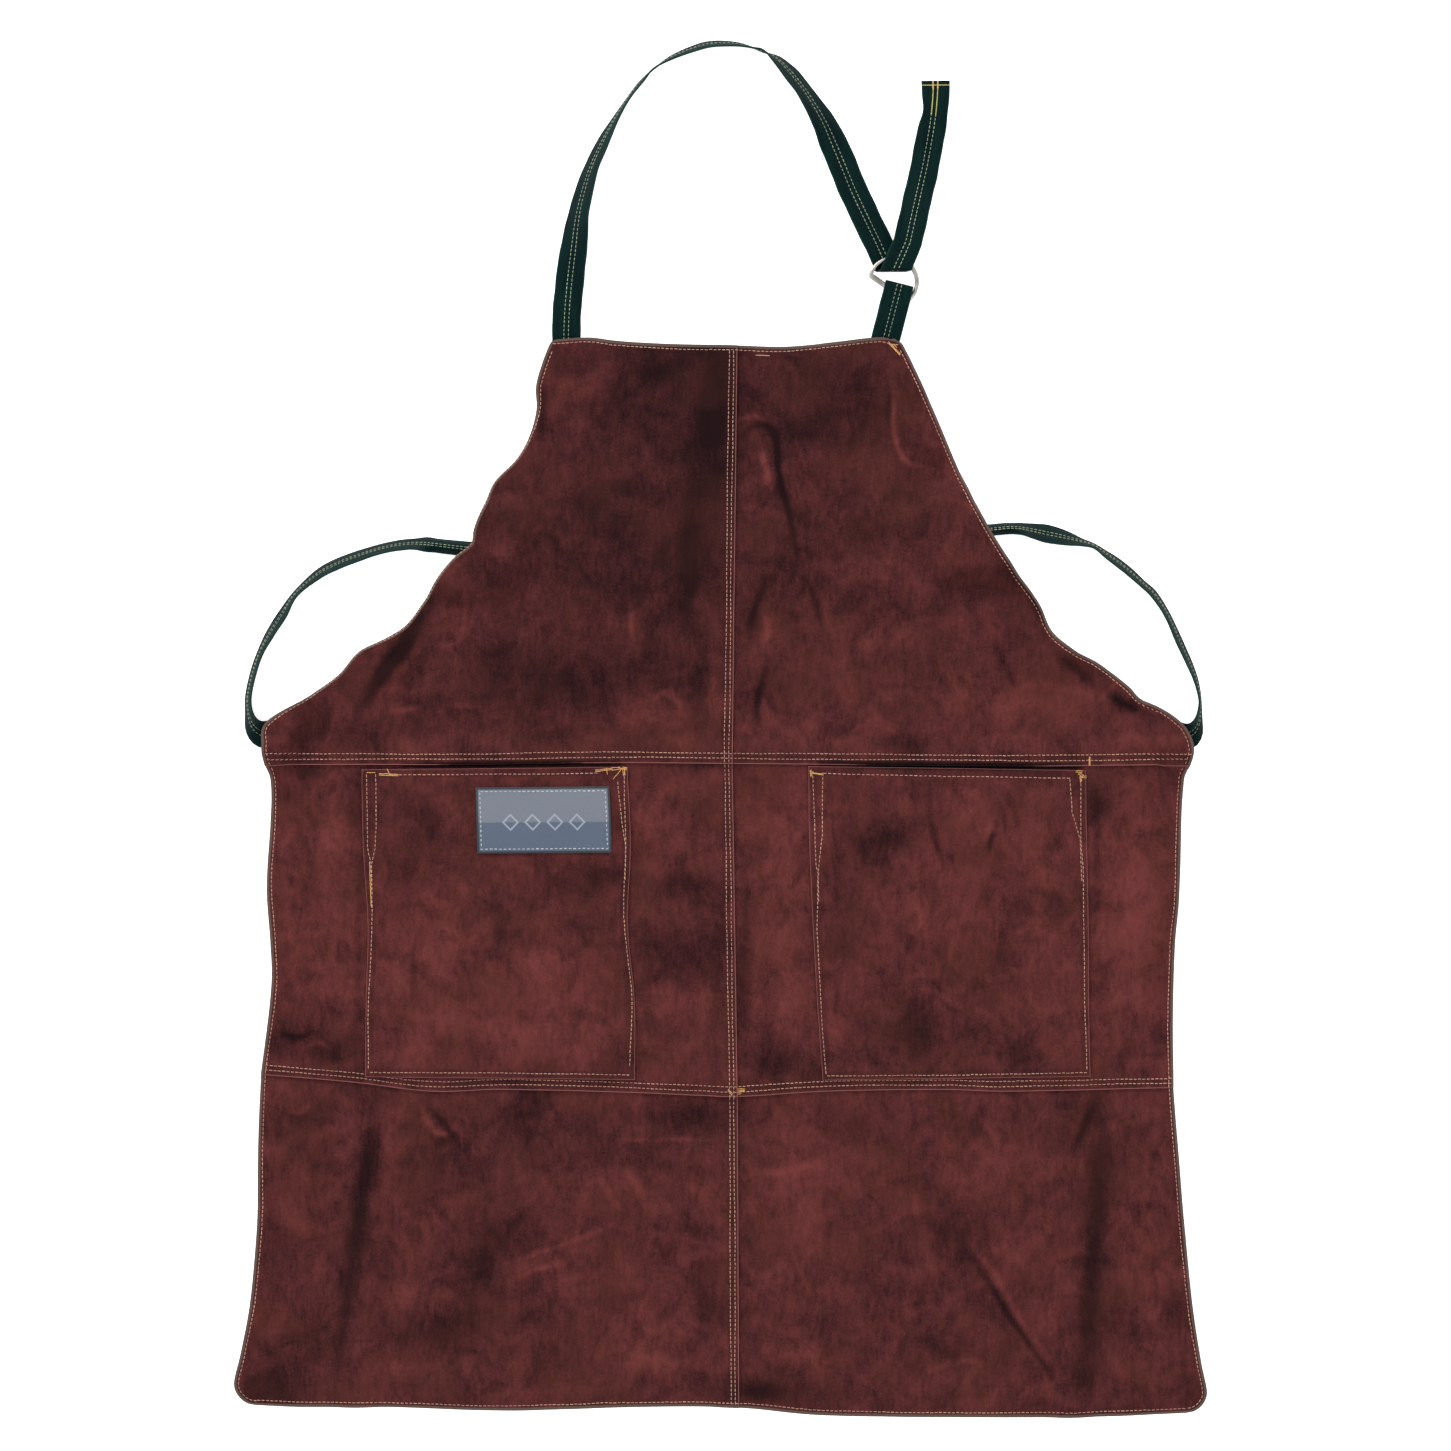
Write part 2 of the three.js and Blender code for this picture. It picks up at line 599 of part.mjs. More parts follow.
function ringStrapSections() {
  const fold = foldBack(ringCrease, ringHeading, 0);
  const root = ringStrapStart.clone().addScaledVector(ringHeading, -strapRoot);
  const first = fold[0].middle;
  const shut = { x: root.x, y: root.y, roll: 0, lift: 0 };
  const near = { x: first.x - ringHeading.x * 2, y: first.y - ringHeading.y * 2, roll: 0, lift: 0 };
  const under = strapStretch([shut, near], 3);
  const top = overLift - underLift;
  const upper = [
    { ...near, roll: 180, lift: top },
    {
      x: mix(near.x, ringStrapStart.x, 0.5),
      y: mix(near.y, ringStrapStart.y, 0.5),
      roll: 180,
      lift: mix(top, strapPitch, 0.5),
    },
    {
      x: ringStrapStart.x + ringHeading.x * 4,
      y: ringStrapStart.y + ringHeading.y * 4,
      roll: 180,
      lift: strapPitch,
    },
    { ...shut, roll: 180, lift: strapPitch },
  ];
  return [...under, ...fold, ...strapStretch(upper, 8)];
}

// The waist ties, from the root under the bib's lower corner to the free end under the bib.
// out is a share of half the waist's width and up a share of the bib's height.
const leftTie = [
  { out: 0.93, up: 0.068, roll: 0 }, { out: 0.965, up: 0.069, roll: 0 },
  { out: 0.992, up: 0.071, roll: 8 }, { out: 1.011, up: 0.088, roll: 42 },
  { out: 1.02, up: 0.118, roll: 66 }, { out: 1.022, up: 0.16, roll: 71 }, { out: 1.011, up: 0.217, roll: 71 },
  { out: 0.996, up: 0.265, roll: 71 }, { out: 0.974, up: 0.311, roll: 66 },
  { out: 0.948, up: 0.356, roll: 65 }, { out: 0.92, up: 0.404, roll: 73 },
  { out: 0.87, up: 0.452, roll: 66 }, { out: 0.826, up: 0.477, roll: 64 },
  { out: 0.783, up: 0.495, roll: 65 }, { out: 0.739, up: 0.51, roll: 67 },
  { out: 0.696, up: 0.52, roll: 66 }, { out: 0.653, up: 0.523, roll: 62 },
  { out: 0.6, up: 0.518, roll: 22 }, { out: 0.561, up: 0.514, roll: 0 },
  { out: 0.5, up: 0.506, roll: 0 }, { out: 0.4, up: 0.474, roll: 0 },
  { out: 0.283, up: 0.409, roll: 0 }, { out: 0.153, up: 0.306, roll: 0 },
];
const rightTie = [
  { out: 0.955, up: 0.065, roll: 0 }, { out: 0.985, up: 0.065, roll: 0 },
  { out: 1.009, up: 0.067, roll: 6 }, { out: 1.025, up: 0.081, roll: 42 },
  { out: 1.033, up: 0.106, roll: 68 }, { out: 1.036, up: 0.14, roll: 78 },
  { out: 1.034, up: 0.165, roll: 78 }, { out: 1.027, up: 0.198, roll: 75 },
  { out: 1.015, up: 0.233, roll: 72 }, { out: 0.991, up: 0.291, roll: 70 },
  { out: 0.966, up: 0.352, roll: 72 }, { out: 0.937, up: 0.402, roll: 70 },
  { out: 0.911, up: 0.429, roll: 71 }, { out: 0.885, up: 0.455, roll: 69 },
  { out: 0.859, up: 0.478, roll: 69 }, { out: 0.833, up: 0.498, roll: 72 },
  { out: 0.807, up: 0.518, roll: 77 }, { out: 0.781, up: 0.527, roll: 72 },
  { out: 0.755, up: 0.535, roll: 60 }, { out: 0.729, up: 0.542, roll: 51 },
  { out: 0.703, up: 0.548, roll: 48 }, { out: 0.676, up: 0.554, roll: 55 },
  { out: 0.65, up: 0.559, roll: 60 }, { out: 0.62, up: 0.56, roll: 42 },
  { out: 0.59, up: 0.558, roll: 14 }, { out: 0.55, up: 0.556, roll: 0 },
  { out: 0.5, up: 0.549, roll: 0 }, { out: 0.39, up: 0.509, roll: 0 },
  { out: 0.26, up: 0.437, roll: 0 }, { out: 0.14, up: 0.354, roll: 0 },
];

function tieSections(table, side) {
  const stations = table.map(({ out, up, roll }) => ({
    x: side * out * (waistWidth / 2),
    y: up * bibHeight,
    roll: -side * roll,
    lift: 0,
  }));
  return strapStretch(stations, 54);
}

const neckStrap = neckSections();
const ringStrap = ringStrapSections();
const tieLeft = tieSections(leftTie, -1);
const tieRight = tieSections(rightTie, 1);

// The leather lifts over each strap that runs under it. The strap's edges and its middle count
// wherever they lie inside the bib's outline, or just outside.
const liftReach = 20;
const liftFade = 18;
const edgeMargin = 3;

function insideBib(point) {
  const down = (levels.top.y + edgeMargin - point.y) / bibHeight;
  if (down < 0 || down > 1) return false;
  const ends = rowEnds(rows.bib, Math.max(0.02, down));
  return point.x > ends.left - edgeMargin && point.x < ends.right + edgeMargin;
}

function crest({ middle, edge, face }, share) {
  const point = middle.clone().addScaledVector(edge, share);
  return {
    spot: new THREE.Vector2(point.x, point.y),
    top: point.z + Math.abs(face.z) + gap,
  };
}

// The crests of one strap, also between its sections.
function crestsOf(sections) {
  const crests = [];
  for (const share of [-1, 0, 1]) {
    sections.slice(1).forEach((section, k) => {
      const from = crest(sections[k], share);
      const to = crest(section, share);
      for (const part of [0, 0.33, 0.67, 1]) {
        crests.push({ spot: from.spot.clone().lerp(to.spot, part), top: mix(from.top, to.top, part) });
      }
    });
  }
  return crests;
}

const humps = [neckStrap, ringStrap, tieLeft, tieRight]
  .flatMap(crestsOf)
  .filter(({ spot }) => insideBib(spot));

function liftAt(point) {
  let height = 0;
  for (const { spot, top } of humps) {
    const past = spot.distanceTo(point) - liftReach;
    height = Math.max(height, top * (1 - smoothStep(past / liftFade)));
  }
  return height;
}

function groundAt(point) {
  return liftAt(point) + foldsAt(point);
}

function panelGrid(panel) {
  const grid = [];
  for (let j = panel.line[0]; j <= panel.line[1]; j += 1) {
    const strip = [];
    for (let i = panel.column[0]; i <= panel.column[1]; i += 1) {
      const { side, share, fromSeam } = columns[i];
      const { row, down } = lines[j];
      const point = place(row, down, side, share, fromSeam);
      const z = groundAt(point) + layerOf(panel, i, j) * pitch;
      strip.push(new THREE.Vector3(point.x, point.y, z));
    }
    grid.push(strip);
  }
  return grid;
}

// A pocket lies on the waist row, stitched down at its sides and foot. Its mouth gapes a little
// between the sides. left and right are how far its sides stand right of a plain rectangle at a
// share down, and mouth and foot how far those edges rise to the right, all as shares of its width.
const pocketShapes = {
  left: {
    sides: [
      { down: 0, left: 0, right: -0.022 }, { down: 0.25, left: 0.005, right: -0.009 },
      { down: 0.5, left: 0.022, right: -0.02 }, { down: 0.75, left: 0.015, right: 0.006 },
      { down: 1, left: 0.011, right: 0.007 },
    ],
    mouth: 0.01,
    foot: -0.01,
  },
  right: {
    sides: [
      { down: 0, left: -0.03, right: -0.008 }, { down: 0.25, left: -0.026, right: -0.004 },
      { down: 0.5, left: -0.014, right: 0.002 }, { down: 0.75, left: 0.002, right: 0.004 },
      { down: 1, left: 0.022, right: 0.01 },
    ],
    mouth: -0.015,
    foot: 0.013,
  },
};
const pocketLines = [0, 0.066, 0.14, 0.21, 0.28, 0.42, 0.56, 0.7, 0.84, 0.95, 1];
const labelAcross = [
  (pocketWidth - labelInset - labelWidth) / pocketWidth,
  (pocketWidth - labelInset) / pocketWidth,
];
const labelDown = [labelDrop / pocketHeight, (labelDrop + labelHeight) / pocketHeight];

function pocketGrid(side, acrossShares, downShares, lift) {
  const ends = rowEnds(rows.waist, 0.5);
  const start = side < 0 ? ends.left + pocketInsetLeft : ends.right - pocketInsetRight - pocketWidth;
  const shape = side < 0 ? pocketShapes.left : pocketShapes.right;
  return downShares.map((down) => acrossShares.map((across) => {
    const left = along(shape.sides, 'down', 'left', down);
    const right = 1 + along(shape.sides, 'down', 'right', down);
    const bulge = Math.sin(Math.PI * across) ** 0.7 * smoothStep((1 - down) / 0.9);
    const slant = mix(shape.mouth, shape.foot, down) * (across - 0.5) * pocketWidth;
    const x = start + mix(left, right, across) * pocketWidth;
    const y = -pocketDrop - down * pocketHeight + slant;
    return new THREE.Vector3(x, y, pitch * 2 + pocketRoom * bulge + lift);
  }));
}

const pocketAcross = [0, 0.07, 0.16, 0.25, 0.34, 0.43, ...labelAcross, 0.6, 0.68, 0.77, 0.86, 1];
const sortedAcross = [...new Set(pocketAcross)].sort((a, b) => a - b);
const sortedDown = [...new Set([...pocketLines, ...labelDown])].sort((a, b) => a - b);
const labelColumns = sortedAcross.filter((share) => share >= labelAcross[0] && share <= labelAcross[1]);
const labelLines = sortedDown.filter((share) => share >= labelDown[0] && share <= labelDown[1]);

// The rings: most of a circle, closed by a straight bar, swept with a round wire. The middle of
// the circle is the origin, and the bar lies below it.
function ringOutline() {
  const bar = Math.sqrt(ringRadius ** 2 - ringBarDrop ** 2);
  const bend = 2.2;
  const points = [];
  for (const share of [-1, -0.33, 0.33, 1]) {
    points.push(new THREE.Vector2(share * (bar - bend), -ringBarDrop));
  }
  const corner = new THREE.Vector2(bar - bend * 0.3, -ringBarDrop + bend * 0.35);
  points.push(corner);
  const first = -Math.asin(ringBarDrop / ringRadius) + bend / ringRadius;
  const arcSteps = 20;
  for (let k = 0; k <= arcSteps; k += 1) {
    const angle = mix(first, Math.PI - first, k / arcSteps);
    points.push(new THREE.Vector2(Math.cos(angle), Math.sin(angle)).multiplyScalar(ringRadius));
  }
  points.push(new THREE.Vector2(-corner.x, corner.y));
  return points;
}

function ring(name, height, tilt) {
  const outline = ringOutline();
  const turn = THREE.MathUtils.degToRad(-tilt);
  const count = outline.length;
  const wireSides = 6;
  const rings = outline.map((point, k) => {
    const before = outline[(k + count - 1) % count];
    const after = outline[(k + 1) % count];
    const heading = after.clone().sub(before).normalize();
    const side = new THREE.Vector2(heading.y, -heading.x);
    const loop = [];
    for (let c = 0; c < wireSides; c += 1) {
      const angle = (2 * Math.PI * (c + 0.5)) / wireSides;
      const out = (Math.cos(angle) * ringWire) / 2;
      const spot = point.clone().addScaledVector(side, out).rotateAround(new THREE.Vector2(), turn);
      const z = height + (Math.sin(angle) * ringWire) / 2;
      loop.push(new THREE.Vector3(ringCentre.x + spot.x, ringCentre.y + spot.y, z));
    }
    return loop;
  });
  return sweep(name, rings, nickel, true);
}

// The whole apron, with its origin on the floor under the middle of its outline.
const apron = new THREE.Group();
for (const panel of panels) {
  apron.add(sheet(panel.name, panelGrid(panel), leather, suede));
}
apron.add(sheet('pocket_left', pocketGrid(-1, sortedAcross, sortedDown, 0), leather, pocketSuede));
apron.add(sheet('pocket_right', pocketGrid(1, sortedAcross, sortedDown, 0), leather, pocketSuede));
apron.add(sheet('label_patch', pocketGrid(-1, labelColumns, labelLines, pitch), leather, labelCloth));
apron.add(strap('neck_strap', neckStrap, cotton));
apron.add(strap('ring_strap', ringStrap, cotton));
apron.add(strap('waist_tie_left', tieLeft, cotton));
apron.add(strap('waist_tie_right', tieRight, cotton));
apron.add(ring('ring_lower', ringLow, ringTilt - 3));
apron.add(ring('ring_upper', ringHigh, ringTilt));

const bounds = new THREE.Box3().setFromObject(apron);
const middle = bounds.getCenter(new THREE.Vector3());
apron.position.set(-middle.x, -middle.y, -bounds.min.z);

export default apron;
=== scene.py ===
# %% [markdown]
# # A leather bib apron, laid out on the floor
#
# The apron is six split-leather panels in lapped seams, two patch pockets, a woven label and
# cotton straps with two D-rings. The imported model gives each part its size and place, and
# this lesson dresses every part in turn: leather first, then the straps, rings and thread.

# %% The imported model
import math
from types import SimpleNamespace

import bpy
import numpy as np
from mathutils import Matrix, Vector
from mathutils.bvhtree import BVHTree


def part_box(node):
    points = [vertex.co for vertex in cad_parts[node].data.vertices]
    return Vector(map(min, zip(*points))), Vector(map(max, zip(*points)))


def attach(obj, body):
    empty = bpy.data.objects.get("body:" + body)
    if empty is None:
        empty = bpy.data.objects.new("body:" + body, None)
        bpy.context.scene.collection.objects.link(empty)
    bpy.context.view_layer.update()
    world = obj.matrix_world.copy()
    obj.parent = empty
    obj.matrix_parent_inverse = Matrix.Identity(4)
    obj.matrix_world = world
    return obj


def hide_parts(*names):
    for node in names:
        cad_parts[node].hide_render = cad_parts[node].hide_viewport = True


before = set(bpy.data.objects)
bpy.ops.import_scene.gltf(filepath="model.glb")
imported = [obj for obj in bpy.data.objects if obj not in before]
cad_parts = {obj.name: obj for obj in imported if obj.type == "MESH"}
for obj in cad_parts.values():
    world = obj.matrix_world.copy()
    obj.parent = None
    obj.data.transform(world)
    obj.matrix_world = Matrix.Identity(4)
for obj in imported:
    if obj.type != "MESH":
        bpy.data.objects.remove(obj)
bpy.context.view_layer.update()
MM = 0.001
rng = np.random.default_rng(11)

# %% [markdown]
# ## The floor, the light and the camera
#
# The apron is seen from straight above, as laid out on a white table for a catalogue. A long
# lens from two and a half metres keeps the sides parallel. One wide soft light from beyond the
# bib draws the folds, and a bright even surround keeps the shadows pale. The table glows a
# little, as a light table does, and the plain Standard view keeps it white.

# %% Camera
PICTURE_WIDE = 1036.4
PICTURE_MIDDLE = (3.6, 2.1)
LENS = 85
SENSOR = 36

camera_data = bpy.data.cameras.new("camera")
camera_data.lens = LENS
camera_data.sensor_width = SENSOR
camera_data.clip_end = 20
camera = bpy.data.objects.new("camera", camera_data)
bpy.context.scene.collection.objects.link(camera)
camera_height = PICTURE_WIDE * LENS / SENSOR
camera.location = (PICTURE_MIDDLE[0] * MM, PICTURE_MIDDLE[1] * MM, camera_height * MM)
bpy.context.scene.camera = camera
bpy.context.scene.view_settings.view_transform = "Standard"
print("the camera stands", round(camera_height), "mm above the floor")

# %% Lights
def soft_light(name, place, aim, size, power):
    """A square area light at place that points to aim."""
    data = bpy.data.lights.new(name, "AREA")
    data.shape = "SQUARE"
    data.size = size
    data.energy = power
    light = bpy.data.objects.new(name, data)
    bpy.context.scene.collection.objects.link(light)
    light.location = place
    light.rotation_euler = (Vector(aim) - Vector(place)).to_track_quat("-Z", "Y").to_euler()
    return light

soft_light("window", (-1.4, 2.1, 1.3), (0, 0, 0), 1.0, 52)
soft_light("fill", (1.6, -1.2, 2.4), (0, 0, 0), 2.0, 10)

world = bpy.data.worlds.new("studio")
bpy.context.scene.world = world
world.use_nodes = True
world.node_tree.nodes["Background"].inputs["Color"].default_value = (1.0, 1.0, 1.0, 1)
world.node_tree.nodes["Background"].inputs["Strength"].default_value = 1.1
print("two area lights in an even white room")

# %% [markdown]
# ## A short way to write materials
#
# Shader maths reads best as sums. A Wire is the output of one node, and adding or multiplying
# wires adds Math nodes. A Finish is one material with a method that makes any other node.

# %% Wires and finishes
class Wire:
    """One output socket of a finish, with arithmetic."""

    def __init__(self, finish, socket):
        self.finish = finish
        self.socket = socket

    def math(self, operation, first, second):
        return self.finish.node("Math", {"operation": operation}, {0: first, 1: second})

    def of(self, operation, second=0):
        """A Math operation on this wire, such as its sine."""
        return self.math(operation, self, second)

    def __add__(self, other):
        return self.of("ADD", other)

    def __sub__(self, other):
        return self.of("SUBTRACT", other)

    def __rsub__(self, other):
        return self.math("SUBTRACT", other, self)

    def __mul__(self, other):
        return self.of("MULTIPLY", other)

    __radd__ = __add__
    __rmul__ = __mul__


def plug(finish, socket, value):
    if isinstance(value, Wire):
        finish.tree.links.new(value.socket, socket)
    else:
        socket.default_value = value


class Finish:
    """One material and its nodes."""

    def __init__(self, name):
        self.material = bpy.data.materials.new(name)
        self.material.use_nodes = True
        self.tree = self.material.node_tree
        self.tree.nodes.clear()

    def node(self, kind, settings=None, sockets=None, output=0):
        made = self.tree.nodes.new("ShaderNode" + kind)
        for key, value in (settings or {}).items():
            setattr(made, key, value)
        for key, value in (sockets or {}).items():
            plug(self, made.inputs[key], value)
        return Wire(self, made.outputs[output])

    def attribute(self, name, output=2):
        return self.node("Attribute", {"attribute_name": name}, output=output)

    def split(self, vector):
        """The x and the y of a vector."""
        node = self.node("SeparateXYZ", {}, {0: vector}).socket.node
        return Wire(self, node.outputs[0]), Wire(self, node.outputs[1])

    def between(self, value, low, high, start=0.0, end=1.0):
        """start below low, end above high, and a soft step between them."""
        numbers = {0: value, 1: low, 2: high, 3: start, 4: end}
        return self.node("MapRange", {"interpolation_type": "SMOOTHSTEP"}, numbers)

    def noise(self, where, scale, detail=3, roughness=0.5, stretch=(1, 1, 1), distortion=0.0):
        """Soft noise of about one blot in 1 / scale metres."""
        if stretch != (1, 1, 1):
            where = self.node("Mapping", {}, {0: where, 3: stretch})
        sockets = {"Vector": where, "Scale": scale, "Detail": detail,
                   "Roughness": roughness, "Distortion": distortion}
        return self.node("TexNoise", {"noise_dimensions": "3D"}, sockets)

    def blend(self, share, first, second):
        """The first colour, with a share of the second over it."""
        sockets = {0: share, 6: first, 7: second}
        return self.node("Mix", {"data_type": "RGBA", "blend_type": "MIX"}, sockets, output=2)

    def bump(self, height, strength, distance):
        sockets = {"Height": height, "Strength": strength, "Distance": distance}
        return self.node("Bump", {}, sockets)

    def surface(self, **sockets):
        """The shader that ends the finish. Its socket names are written with underscores."""
        named = {key.replace("_", " "): value for key, value in sockets.items()}
        shader = self.node("BsdfPrincipled", {}, named)
        end = self.tree.nodes.new("ShaderNodeOutputMaterial")
        self.tree.links.new(shader.socket, end.inputs["Surface"])
        return self.material


def colour(red, green, blue):
    """An sRGB colour from 0 to 255, as the shader's linear numbers."""
    shares = [c / 255 for c in (red, green, blue)]
    return (*[c / 12.92 if c <= 0.04045 else ((c + 0.055) / 1.055) ** 2.4 for c in shares], 1)

print("a finish can be written as sums")

# %% The floor
bpy.ops.object.select_all(action="DESELECT")
bpy.ops.mesh.primitive_plane_add(size=30, location=(0, 0, -0.0006))
floor = bpy.context.object
floor.name = "floor"
paper = Finish("floor_paper")
paper_grain = paper.noise(paper.node("TexCoord", output=3), 300)
paper_tone = paper.blend(paper_grain, (0.96, 0.96, 0.96, 1), (0.98, 0.98, 0.98, 1))
floor.data.materials.append(paper.surface(Base_Color=paper_tone, Roughness=0.9,
                                          Emission_Color=(1, 1, 1, 1), Emission_Strength=0.7))
print("a pale floor of", round(floor.dimensions.x), "m")

# %% [markdown]
# ## The cut of the apron
#
# All panels come from one drawing in millimetres. Four level lines, the bib's top, the waist
# seam, the hip seam and the hem, carry the widths. The sides bow in and out between them, and a
# centre seam runs down the middle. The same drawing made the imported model, so the dressed
# leather lands on it with no fitting.

# %% Reading a table
def smooth_step(t):
    t = np.clip(t, 0, 1)
    return t * t * (3 - 2 * t)


def up_and_down(share, fade):
    """1 between 0 and 1, with a soft step up to it and down from it."""
    return smooth_step(share / fade) * smooth_step((1 - share) / fade)


def mix(a, b, t):
    return a + (b - a) * t


def curve_between(start, end, leave, arrive, t):
    """The smooth curve from start to end that leaves and arrives with a given slope."""
    curve = start * (2 * t ** 3 - 3 * t ** 2 + 1) + leave * (t ** 3 - 2 * t ** 2 + t)
    return curve + end * (3 * t ** 2 - 2 * t ** 3) + arrive * (t ** 3 - t ** 2)


def along(table, at, column=1):
    """The smooth curve through a table's rows. The first column is the key."""
    rows = np.array(table, float)
    key, value = rows[:, 0], rows[:, column]
    ends = (np.diff(value) / np.diff(key))[[0, -1]]
    slope = np.array([ends[0], *(value[2:] - value[:-2]) / (key[2:] - key[:-2]), ends[1]])
    at = np.clip(np.asarray(at, float), key[0], key[-1])
    k = np.clip(np.searchsorted(key, at, side="right") - 1, 0, len(key) - 2)
    span = key[k + 1] - key[k]
    t = (at - key[k]) / span
    return curve_between(value[k], value[k + 1], slope[k] * span, slope[k + 1] * span, t)


def run_of(points):
    """The distance along a line at each of its points."""
    return np.concatenate([[0], np.cumsum(np.linalg.norm(np.diff(points, axis=0), axis=1))])


def at_run(at, run, points):
    """The places on a line, or the vectors along it, at some distances."""
    return np.column_stack([np.interp(at, run, column) for column in points.T])


def unit(vectors):
    return vectors / np.maximum(1e-9, np.linalg.norm(vectors, axis=-1))[..., None]

print("halfway up a soft step:", smooth_step(0.5))

# %% The four level lines
BIB_HEIGHT = 299
WAIST_HEIGHT = 236
SKIRT_HEIGHT = 225
LEATHER = 1.3
GAP = 0.3
PITCH = LEATHER + GAP
LAP = 10
RAMP = 12

# Rows of (across, rise): across is -1 at the left side, 0 at the centre seam and 1 at the
# right side, and rise is a share of half the level's width.
TOP_EDGE = [
    (-1, 0.029), (-0.82, 0.04), (-0.68, 0.023), (-0.41, 0.006), (0, -0.003), (0.3, -0.011),
    (0.6, 0.011), (0.9, 0.04), (1, 0.023),
]
WAIST_EDGE = [
    (-1, -0.002), (-0.58, -0.002), (-0.28, 0.002), (0, 0), (0.65, -0.005), (1, -0.002),
]
HIP_EDGE = [
    (-1, 0.044), (-0.8, 0.026), (-0.64, 0.007), (-0.5, 0.011), (-0.21, 0.004), (0, -0.004),
    (0.19, 0.007), (0.48, 0.011), (0.61, 0.007), (1, 0.015),
]
HEM_EDGE = [
    (-1, 0.01), (-0.92, 0.006), (-0.75, 0.006), (-0.47, -0.002), (-0.2, 0.006), (0, 0.004),
    (0.2, -0.012), (0.8, -0.014), (1, -0.006),
]


def level(y, width, shift, seam, edge):
    return SimpleNamespace(y=y, half=width / 2, shift=shift, seam=seam, edge=edge)

TOP = level(BIB_HEIGHT, 249, 3.6, 11.6, TOP_EDGE)
WAIST_LINE = level(0, 658, 4.3, 8.2, WAIST_EDGE)
HIP = level(-WAIST_HEIGHT, 651, -2.7, 11.8, HIP_EDGE)
HEM = level(-WAIST_HEIGHT - SKIRT_HEIGHT, 695, 0, 12.9, HEM_EDGE)
print("widths of the levels:", [round(2 * line.half) for line in (TOP, WAIST_LINE, HIP, HEM)])

# %% The side outlines
# Rows of (down, bow): down is the share of the row's height below its upper level, and bow is
# how far the side stands out from a straight line, as a share of the row's height.
BIB_LEFT = [
    (0, 0), (0.05, -0.014), (0.11, -0.038), (0.165, -0.077), (0.22, -0.101), (0.28, -0.108),
    (0.335, -0.092), (0.39, -0.107), (0.42, -0.113), (0.452, -0.1235), (0.478, -0.138),
    (0.492, -0.134), (0.506, -0.124), (0.53, -0.1165), (0.56, -0.1135), (0.62, -0.115),
    (0.675, -0.109), (0.704, -0.085), (0.732, -0.042), (0.789, -0.028), (0.845, 0.012),
    (0.902, 0.062), (0.959, 0.031), (1, 0),
]
BIB_RIGHT = [
    (0, 0), (0.05, -0.009), (0.165, -0.034), (0.28, -0.064), (0.39, -0.089), (0.505, -0.1),
    (0.62, -0.094), (0.69, -0.109), (0.731, -0.086), (0.76, -0.05), (0.816, -0.017),
    (0.844, -0.008), (0.873, 0.027), (0.9, 0.045), (0.922, 0.0475), (0.958, 0.0345), (1, 0),
]
WAIST_LEFT = [
    (0, 0), (0.05, -0.016), (0.18, -0.018), (0.4, -0.01), (0.57, -0.024), (0.7, -0.029), (1, 0),
]
WAIST_RIGHT = [
    (0, 0), (0.05, -0.013), (0.42, -0.012), (0.55, -0.018), (0.8, -0.011), (1, 0),
]
SKIRT_LEFT = [
    (0, 0), (0.2, -0.008), (0.44, -0.025), (0.69, -0.024), (0.85, -0.006), (0.93, 0.006), (1, 0),
]
SKIRT_RIGHT = [
    (0, 0), (0.29, -0.008), (0.65, -0.013), (0.85, -0.004), (0.93, 0.004), (1, 0),
]


def row_of_panels(upper, lower, left, right, top_corner=0, foot_corner=0):
    return SimpleNamespace(upper=upper, lower=lower, height=upper.y - lower.y, left=left,
                           right=right, top_corner=top_corner, foot_corner=foot_corner)

BIB = row_of_panels(TOP, WAIST_LINE, BIB_LEFT, BIB_RIGHT, top_corner=4)
WAIST = row_of_panels(WAIST_LINE, HIP, WAIST_LEFT, WAIST_RIGHT)
SKIRT = row_of_panels(HIP, HEM, SKIRT_LEFT, SKIRT_RIGHT, foot_corner=16)
print("rows of panels:", BIB.height, WAIST.height, SKIRT.height, "mm high")

# %% Places on the drawing
def corner_inset(radius, distance):
    """How far a rounded corner pulls the side in at a distance from the corner's level."""
    leg = np.clip(radius - np.maximum(0, distance), 0, radius)
    return radius - np.sqrt(radius ** 2 - leg ** 2)


def row_ends(row, down):
    """The x of the left side, the centre seam and the right side."""
    shift = mix(row.upper.shift, row.lower.shift, down)
    half = mix(row.upper.half, row.lower.half, down)
    inset = corner_inset(row.top_corner, down * row.height)
    inset = inset + corner_inset(row.foot_corner, (1 - down) * row.height)
    left = shift - half - along(row.left, down) * row.height + inset
    right = shift + half + along(row.right, down) * row.height - inset
    return left, mix(row.upper.seam, row.lower.seam, down), right


def place(row, down, offset):
    """The x and y of a place that lies offset millimetres right of the centre seam."""
    left, seam, right = row_ends(row, down)
    across = offset / np.where(offset < 0, seam - left, right - seam)
    high = row.upper.y + along(row.upper.edge, across) * row.upper.half
    low = row.lower.y + along(row.lower.edge, across) * row.lower.half
    return seam + offset, mix(high, low, down)


def reach(row, down, side):
    """From the centre seam to one side, in millimetres."""
    left, seam, right = row_ends(row, down)
    return seam - left if side < 0 else right - seam

print("the bib's top left corner lies at", [round(float(v), 1) for v in place(BIB, 0.02, -120)])

# %% [markdown]
# ## The straps' course
#
# The straps come before the leather, because the leather lies over their ends and lifts there.
# Cotton tape of 20.5 mm keeps its width, so where the photograph shows it narrower it stands
# partly on edge. Each strap is a line of stations with a place and a roll, and a section every
# few millimetres along the smooth curve through them.

# %% Sections of strap
STRAP_WIDE = 20.5
STRAP_THICK = 1.4
STRAP_PITCH = STRAP_THICK + GAP


def rolled_height(roll):
    turn = np.radians(roll)
    return (np.abs(np.sin(turn)) * STRAP_WIDE + np.abs(np.cos(turn)) * STRAP_THICK) / 2


